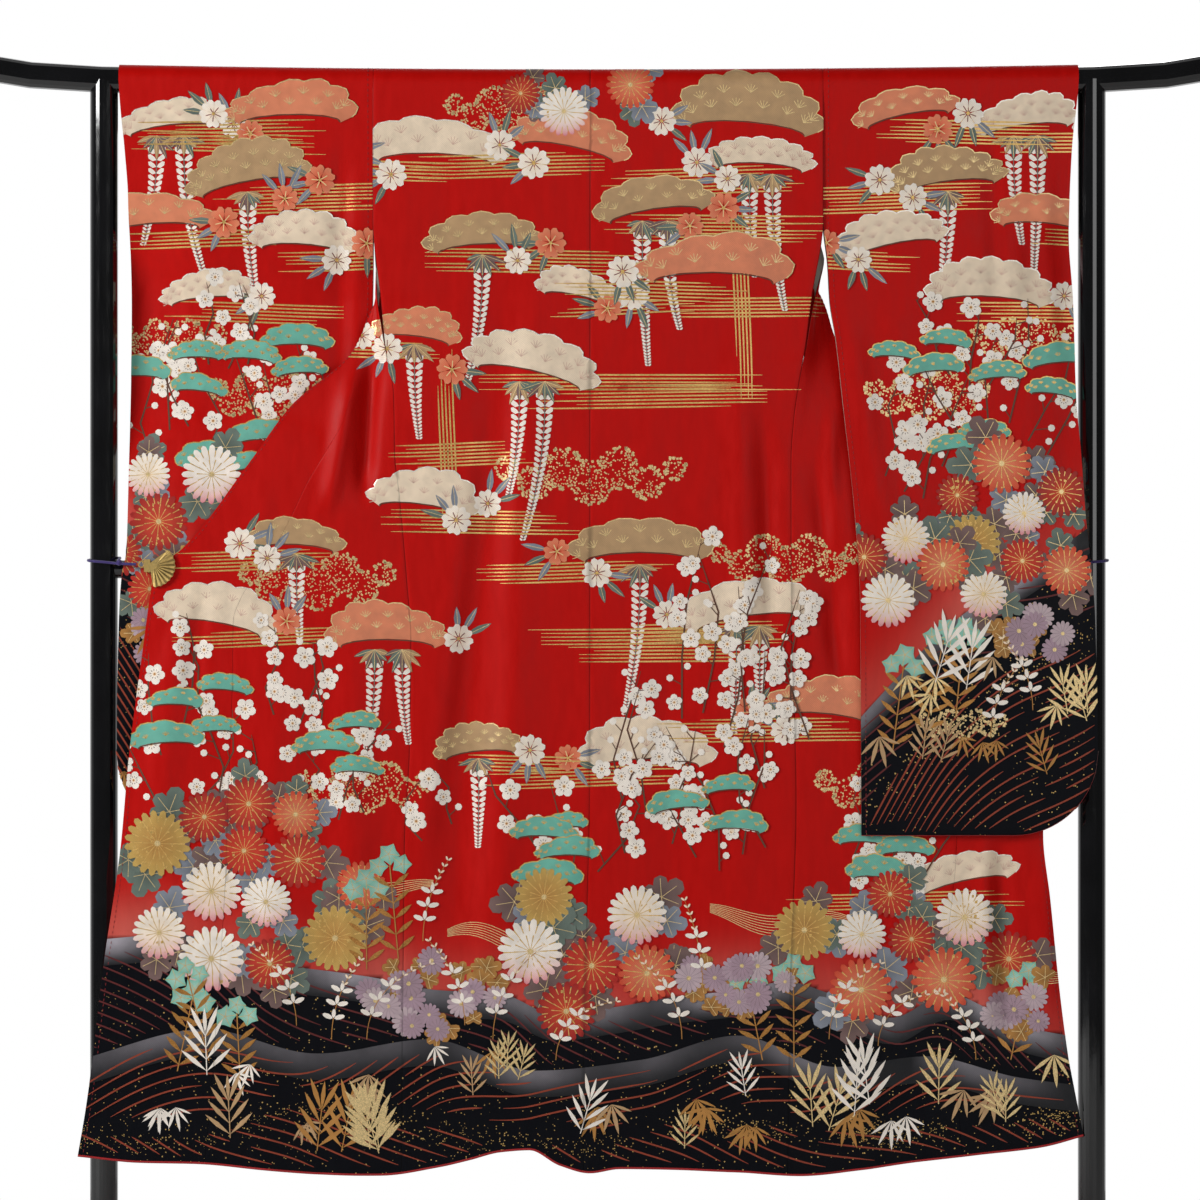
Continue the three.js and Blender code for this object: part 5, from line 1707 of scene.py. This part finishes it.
class FURISODE_OT_cloth(FurisodeOperator, bpy.types.Operator):
    """Hangs the cut panels of the furisode over the rail"""
    bl_idname = "furisode.cloth"
    bl_label = "Cloth Panels"

    def execute(self, context):
        settings = self.settings
        step = settings.grid_step / MM
        silk = silk_material(settings)
        grey = lining_material("grey_lining", srgb(150, 142, 132), srgb(186, 178, 166))
        red = lining_material("red_lining", srgb(150, 12, 14), srgb(166, 20, 22))
        skirt = lining_material("skirt_lining", srgb(150, 142, 132), srgb(186, 178, 166), srgb(158, 16, 18))
        linings = {"sleeve": grey, "okumi": red, "collar": red, "back": skirt, "front": skirt}
        for side in SIDES:
            for panel in (back_panel(side, step), front_panel(side, step), okumi_panel(side, step),
                          sleeve_panel(side, step)):
                PANELS[panel.name] = panel
        PANELS["collar"] = collar_panel(step)
        for name, panel in PANELS.items():
            lining = linings[name.split("_")[0]]
            mesh = wall_mesh(panel, silk, lining)
            ground_at = sleeve_ground if name.startswith("sleeve") else skirt_ground
            dye(mesh, panel, lambda x, z: ground_at(settings, x, z))
            nodes = [name + end for end in ("_back", "_front")] if name.startswith("sleeve") else [name]
            slot = "collar_silk" if name == "collar" else "silk"
            add_object(f"cloth_{name}", mesh, slot, *nodes)
        return {"FINISHED"}


class FURISODE_OT_pattern(FurisodeOperator, bpy.types.Operator):
    """Lays the dyed and gilt motifs on the outer faces of the panels"""
    bl_idname = "furisode.pattern"
    bl_label = "Pattern"

    def execute(self, context):
        inks = {}
        body = [PANELS[f"{part}_{side.name}"] for side in SIDES for part in ("back", "front", "okumi")]
        body_pattern(Face(body, -1, inks), random.Random(11))
        shoulder_pattern(Face(body, 1, inks), random.Random(5))
        for side in SIDES:
            sleeve = PANELS[f"sleeve_{side.name}"]
            sleeve_pattern(Face([sleeve], -1, inks), side, random.Random(20 + side.sign))
            sleeve_pattern(Face([sleeve], 1, inks), side, random.Random(40 + side.sign))
        materials = (motif_material(), gold_leaf_material())
        for name, ink in inks.items():
            if not ink.faces:
                continue
            piece = add_object(f"pattern_{name}", ink_mesh(f"pattern_{name}", ink, materials), "silk")
            PATTERNS[name] = piece
        return {"FINISHED"}


def roll_mesh(name, path, radius, material, sides=7):
    """A thin closed roll along a path in millimetres."""
    points, faces = [], []
    for i, point in enumerate(path):
        along = path[min(len(path) - 1, i + 1)] - path[max(0, i - 1)]
        across = np.cross(along, (0.0, 0.0, 1.0))
        across /= np.linalg.norm(across)
        up = np.cross(across, along)
        up /= np.linalg.norm(up)
        for k in range(sides):
            a = 2 * math.pi * k / sides
            points.append((point + radius * (math.cos(a) * across + math.sin(a) * up)) * MM)
    for i in range(len(path) - 1):
        for k in range(sides):
            a, b = i * sides + k, i * sides + (k + 1) % sides
            faces.append((a, a + sides, b + sides, b))
    faces.append(tuple(range(sides)))
    faces.append(tuple(reversed(range(len(points) - sides, len(points)))))
    return built_mesh(name, [p.tolist() for p in points], faces, (material,),
                      smooth=[len(face) == 4 for face in faces])


def stitch_tree():
    """Node group that sets short threads one after another along an edge."""
    tree = bpy.data.node_groups.new("edge_stitches", "GeometryNodeTree")
    for label, kind in (("Geometry", "Geometry"), ("Spacing", "Float"), ("Thread Size", "Vector"),
                        ("Thread", "Material")):
        tree.interface.new_socket(label, in_out="INPUT", socket_type=f"NodeSocket{kind}")
    tree.interface.new_socket("Geometry", in_out="OUTPUT", socket_type="NodeSocketGeometry")
    kinds = ("NodeGroupInput", "GeometryNodeMeshToCurve", "GeometryNodeResampleCurve", "GeometryNodeMeshCube",
             "GeometryNodeInputTangent", "FunctionNodeAlignEulerToVector", "GeometryNodeInstanceOnPoints",
             "GeometryNodeRealizeInstances", "GeometryNodeSetMaterial", "NodeGroupOutput")
    given, curve, evenly, thread, tangent, align, spread, real, finish, result = (
        tree.nodes.new(kind) for kind in kinds)
    evenly.mode = "LENGTH"
    align.axis = "X"
    for source, output, target, entry in (
            (given, "Geometry", curve, "Mesh"), (curve, "Curve", evenly, "Curve"),
            (given, "Spacing", evenly, "Length"), (given, "Thread Size", thread, "Size"),
            (tangent, "Tangent", align, "Vector"), (evenly, "Curve", spread, "Points"),
            (thread, "Mesh", spread, "Instance"), (align, "Rotation", spread, "Rotation"),
            (spread, "Instances", real, "Geometry"), (real, "Geometry", finish, "Geometry"),
            (given, "Thread", finish, "Material"), (finish, "Geometry", result, "Geometry")):
        tree.links.new(source.outputs[output], target.inputs[entry])
    return tree


def stitched(name, path, tree, material, settings):
    """Stitches along a path in millimetres, as a plain mesh."""
    line = bpy.data.meshes.new(name)
    line.from_pydata([(p * MM).tolist() for p in path], [(i, i + 1) for i in range(len(path) - 1)], [])
    piece = bpy.data.objects.new(name, line)
    bpy.context.scene.collection.objects.link(piece)
    modifier = piece.modifiers.new("stitches", "NODES")
    modifier.node_group = tree
    values = {"Spacing": settings.stitch_spacing, "Thread Size": (0.0035, 0.0007, 0.0007), "Thread": material}
    for socket in tree.interface.items_tree:
        if socket.name in values:
            modifier[socket.identifier] = values[socket.name]
    seen = piece.evaluated_get(bpy.context.evaluated_depsgraph_get())
    mesh = bpy.data.meshes.new_from_object(seen)
    piece.modifiers.remove(modifier)
    bpy.data.objects.remove(piece)
    return mesh


class FURISODE_OT_trims(FurisodeOperator, bpy.types.Operator):
    """Adds the padded hem, the piping under the sleeves and the stitches along the open edges"""
    bl_idname = "furisode.trims"
    bl_label = "Trims"

    def execute(self, context):
        settings = self.settings
        red = lining_material("hem_lining", (0.3, 0.004, 0.006), (0.42, 0.008, 0.01))
        thread = lining_material("silk_thread", (0.2, 0.004, 0.006), (0.28, 0.01, 0.012))
        tree = stitch_tree()
        for name, panel in PANELS.items():
            if name == "collar":
                continue
            sleeve = name.startswith("sleeve")
            edge = panel.middle[:, 0] if sleeve else panel.middle[:, -1]
            radius = 0.9 if sleeve else settings.hem_roll / MM
            path = edge - np.array((0.0, 0.0, 1.0)) * (0.7 if sleeve else 0.2)
            trims = [add_object(f"edging_{name}", roll_mesh(f"edging_{name}", path, radius, red), "silk")]
            if sleeve or name.startswith("okumi"):
                column = 2 if sleeve else -3
                along = panel.outer[column] + panel.normals[column] * 0.25
                mesh = stitched(f"stitches_{name}", along, tree, thread, settings)
                trims.append(add_object(f"stitches_{name}", mesh, "silk"))
            TRIMS[name] = trims
        return {"FINISHED"}


FAN_CENTRE = (633, 1006)      # x from the middle, height, of a clip's fan
FAN_REACH = (5, 18, 30.5)     # from the centre to the leaf's inner edge, its middle and its rim
FAN_SPREAD = (-92, 48)        # degrees
FAN_PLEATS = 20


def fan_leaf(name, sign, front, materials):
    """The pleated leaf on the face of a fan clip, every other pleat in a darker brass as painted shade."""
    points, faces, slots = [], [], []
    inner, middle, rim = FAN_REACH
    for i in range(FAN_PLEATS + 1):
        a = math.radians(lerp(*FAN_SPREAD, i / FAN_PLEATS))
        lift = 1.5 if i % 2 else 0.3
        edge = rim if i % 2 else rim - 1.4
        for reach, depth in ((inner, 0.0), (inner, 0.3), (middle, lift), (edge, lift), (edge, 0.0)):
            x, z = sign * (FAN_CENTRE[0] - reach * math.cos(a)), FAN_CENTRE[1] + reach * math.sin(a)
            points.append((x * MM, front - depth * MM, z * MM))
    for i in range(FAN_PLEATS):
        for k in range(5):
            a, b = 5 * i + k, 5 * i + (k + 1) % 5
            faces.append((a, b, b + 5, a + 5))
            # Painted shade: every other pleat takes the second, darker brass.
            slots.append(i % 2)
    faces += [tuple(range(5)), tuple(range(5 * FAN_PLEATS, 5 * FAN_PLEATS + 5))]
    slots += [0, 0]
    mesh = built_mesh(name, points, faces, materials, slots)
    shell = bmesh.new()
    shell.from_mesh(mesh)
    bmesh.ops.recalc_face_normals(shell, faces=shell.faces)
    shell.to_mesh(mesh)
    shell.free()
    return mesh


class FURISODE_OT_stand(FurisodeOperator, bpy.types.Operator):
    """Gives the stand, the clips and the cords their finishes"""
    bl_idname = "furisode.stand"
    bl_label = "Stand Finishes"

    def execute(self, context):
        brass = brass_material("aged_brass", (0.72, 0.5, 0.17), (0.42, 0.3, 0.11))
        # The darker brass is painted shade for the fan's pleats.
        dark_brass = brass_material("dark_brass", (0.3, 0.2, 0.06), (0.16, 0.11, 0.04))
        finishes = {"lacquer": lacquer_material(), "rubber": rubber_material(), "brass": brass,
                    "cord": cord_material()}
        prefixes = {"rail": "lacquer", "post": "lacquer", "mid_bar": "lacquer", "foot": "lacquer",
                    "glide": "rubber", "clip": "brass", "tie": "cord"}
        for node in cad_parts:
            name = node if isinstance(node, str) else node["name"]
            for prefix, finish in prefixes.items():
                if name.startswith(prefix):
                    piece = bpy.data.objects[name]
                    for slot in piece.material_slots:
                        slot.material = finishes[finish]
        for side in SIDES:
            clip = bpy.data.objects[f"clip_{side.name}"]
            front = min(vertex.co.y for vertex in clip.data.vertices) - 0.05 * MM
            name = f"fan_leaf_{side.name}"
            add_object(name, fan_leaf(name, side.sign, front, (brass, dark_brass)), "brass")
        return {"FINISHED"}


class FURISODE_OT_stage(FurisodeOperator, bpy.types.Operator):
    """Makes the camera, the lights and the pale floor"""
    bl_idname = "furisode.stage"
    bl_label = "Stage"

    def execute(self, context):
        scene = bpy.context.scene
        camera = bpy.data.cameras.new("camera")
        camera.lens = self.settings.lens
        camera.clip_end = 60
        eye = bpy.data.objects.new("camera", camera)
        eye.location = (0.003, -9.0, 0.957)
        eye.rotation_euler = (math.pi / 2, 0, 0)
        scene.collection.objects.link(eye)
        scene.camera = eye

        corners = [(-4, -4, 0), (4, -4, 0), (4, 0.9, 0), (-4, 0.9, 0)]
        floor = built_mesh("floor", corners, [(0, 1, 2, 3)], (pale_floor_material(),))
        ground = bpy.data.objects.new("floor", floor)
        scene.collection.objects.link(ground)

        area_light("key", (-4.0, -2.7, 2.7), (0, 0, 1.0), (1.5, 1.5), 180)
        area_light("fill", (1.6, -4.6, 1.9), (0, 0, 0.9), (2.4, 2.4), 44)
        area_light("rear", (0.5, 3.2, 2.8), (0, 0, 1.0), (2.6, 1.6), 30)

        world = bpy.data.worlds.new("studio")
        world.use_nodes = True
        tree = world.node_tree
        place = tree.nodes.new("ShaderNodeTexCoord")
        split = tree.nodes.new("ShaderNodeSeparateXYZ")
        spread = tree.nodes.new("ShaderNodeMapRange")
        for socket, value in zip(("From Min", "From Max", "To Min", "To Max"), (0.2, 0.9, 0.07, 1.0)):
            spread.inputs[socket].default_value = value
        tree.links.new(place.outputs["Generated"], split.inputs[0])
        tree.links.new(split.outputs["Y"], spread.inputs["Value"])
        tree.links.new(spread.outputs["Result"], tree.nodes["Background"].inputs["Strength"])
        tree.nodes["Background"].inputs["Color"].default_value = (1, 1, 1, 1)
        scene.world = world
        scene.view_settings.view_transform = "Standard"
        return {"FINISHED"}


class FURISODE_PT_panel(bpy.types.Panel):
    """Lists the steps in the 3D view's sidebar"""
    bl_idname = "FURISODE_PT_panel"
    bl_label = "Furisode"
    bl_space_type = "VIEW_3D"
    bl_region_type = "UI"
    bl_category = "Furisode"

    def draw(self, context):
        for key in FurisodeSettings.__annotations__:
            self.layout.prop(context.scene.furisode, key)
        for operator in OPERATORS:
            self.layout.operator(operator.bl_idname)


OPERATORS = (FURISODE_OT_cloth, FURISODE_OT_pattern, FURISODE_OT_trims, FURISODE_OT_stand, FURISODE_OT_stage)
CLASSES = (FurisodeSettings, *OPERATORS, FURISODE_PT_panel)


def register():
    for cls in CLASSES:
        bpy.utils.register_class(cls)
    bpy.types.Scene.furisode = bpy.props.PointerProperty(type=FurisodeSettings)


def unregister():
    del bpy.types.Scene.furisode
    for cls in reversed(CLASSES):
        bpy.utils.unregister_class(cls)


def main():
    register()
    bpy.ops.furisode.cloth()
    bpy.ops.furisode.pattern()
    bpy.ops.furisode.trims()
    for name, (width, length, area) in CUTS.items():
        on_it = [PATTERNS[name]] if name in PATTERNS else []
        on_it += TRIMS.get(name, [])
    bpy.ops.furisode.stand()
    bpy.ops.furisode.stage()


if __name__ == "__main__":
    main()
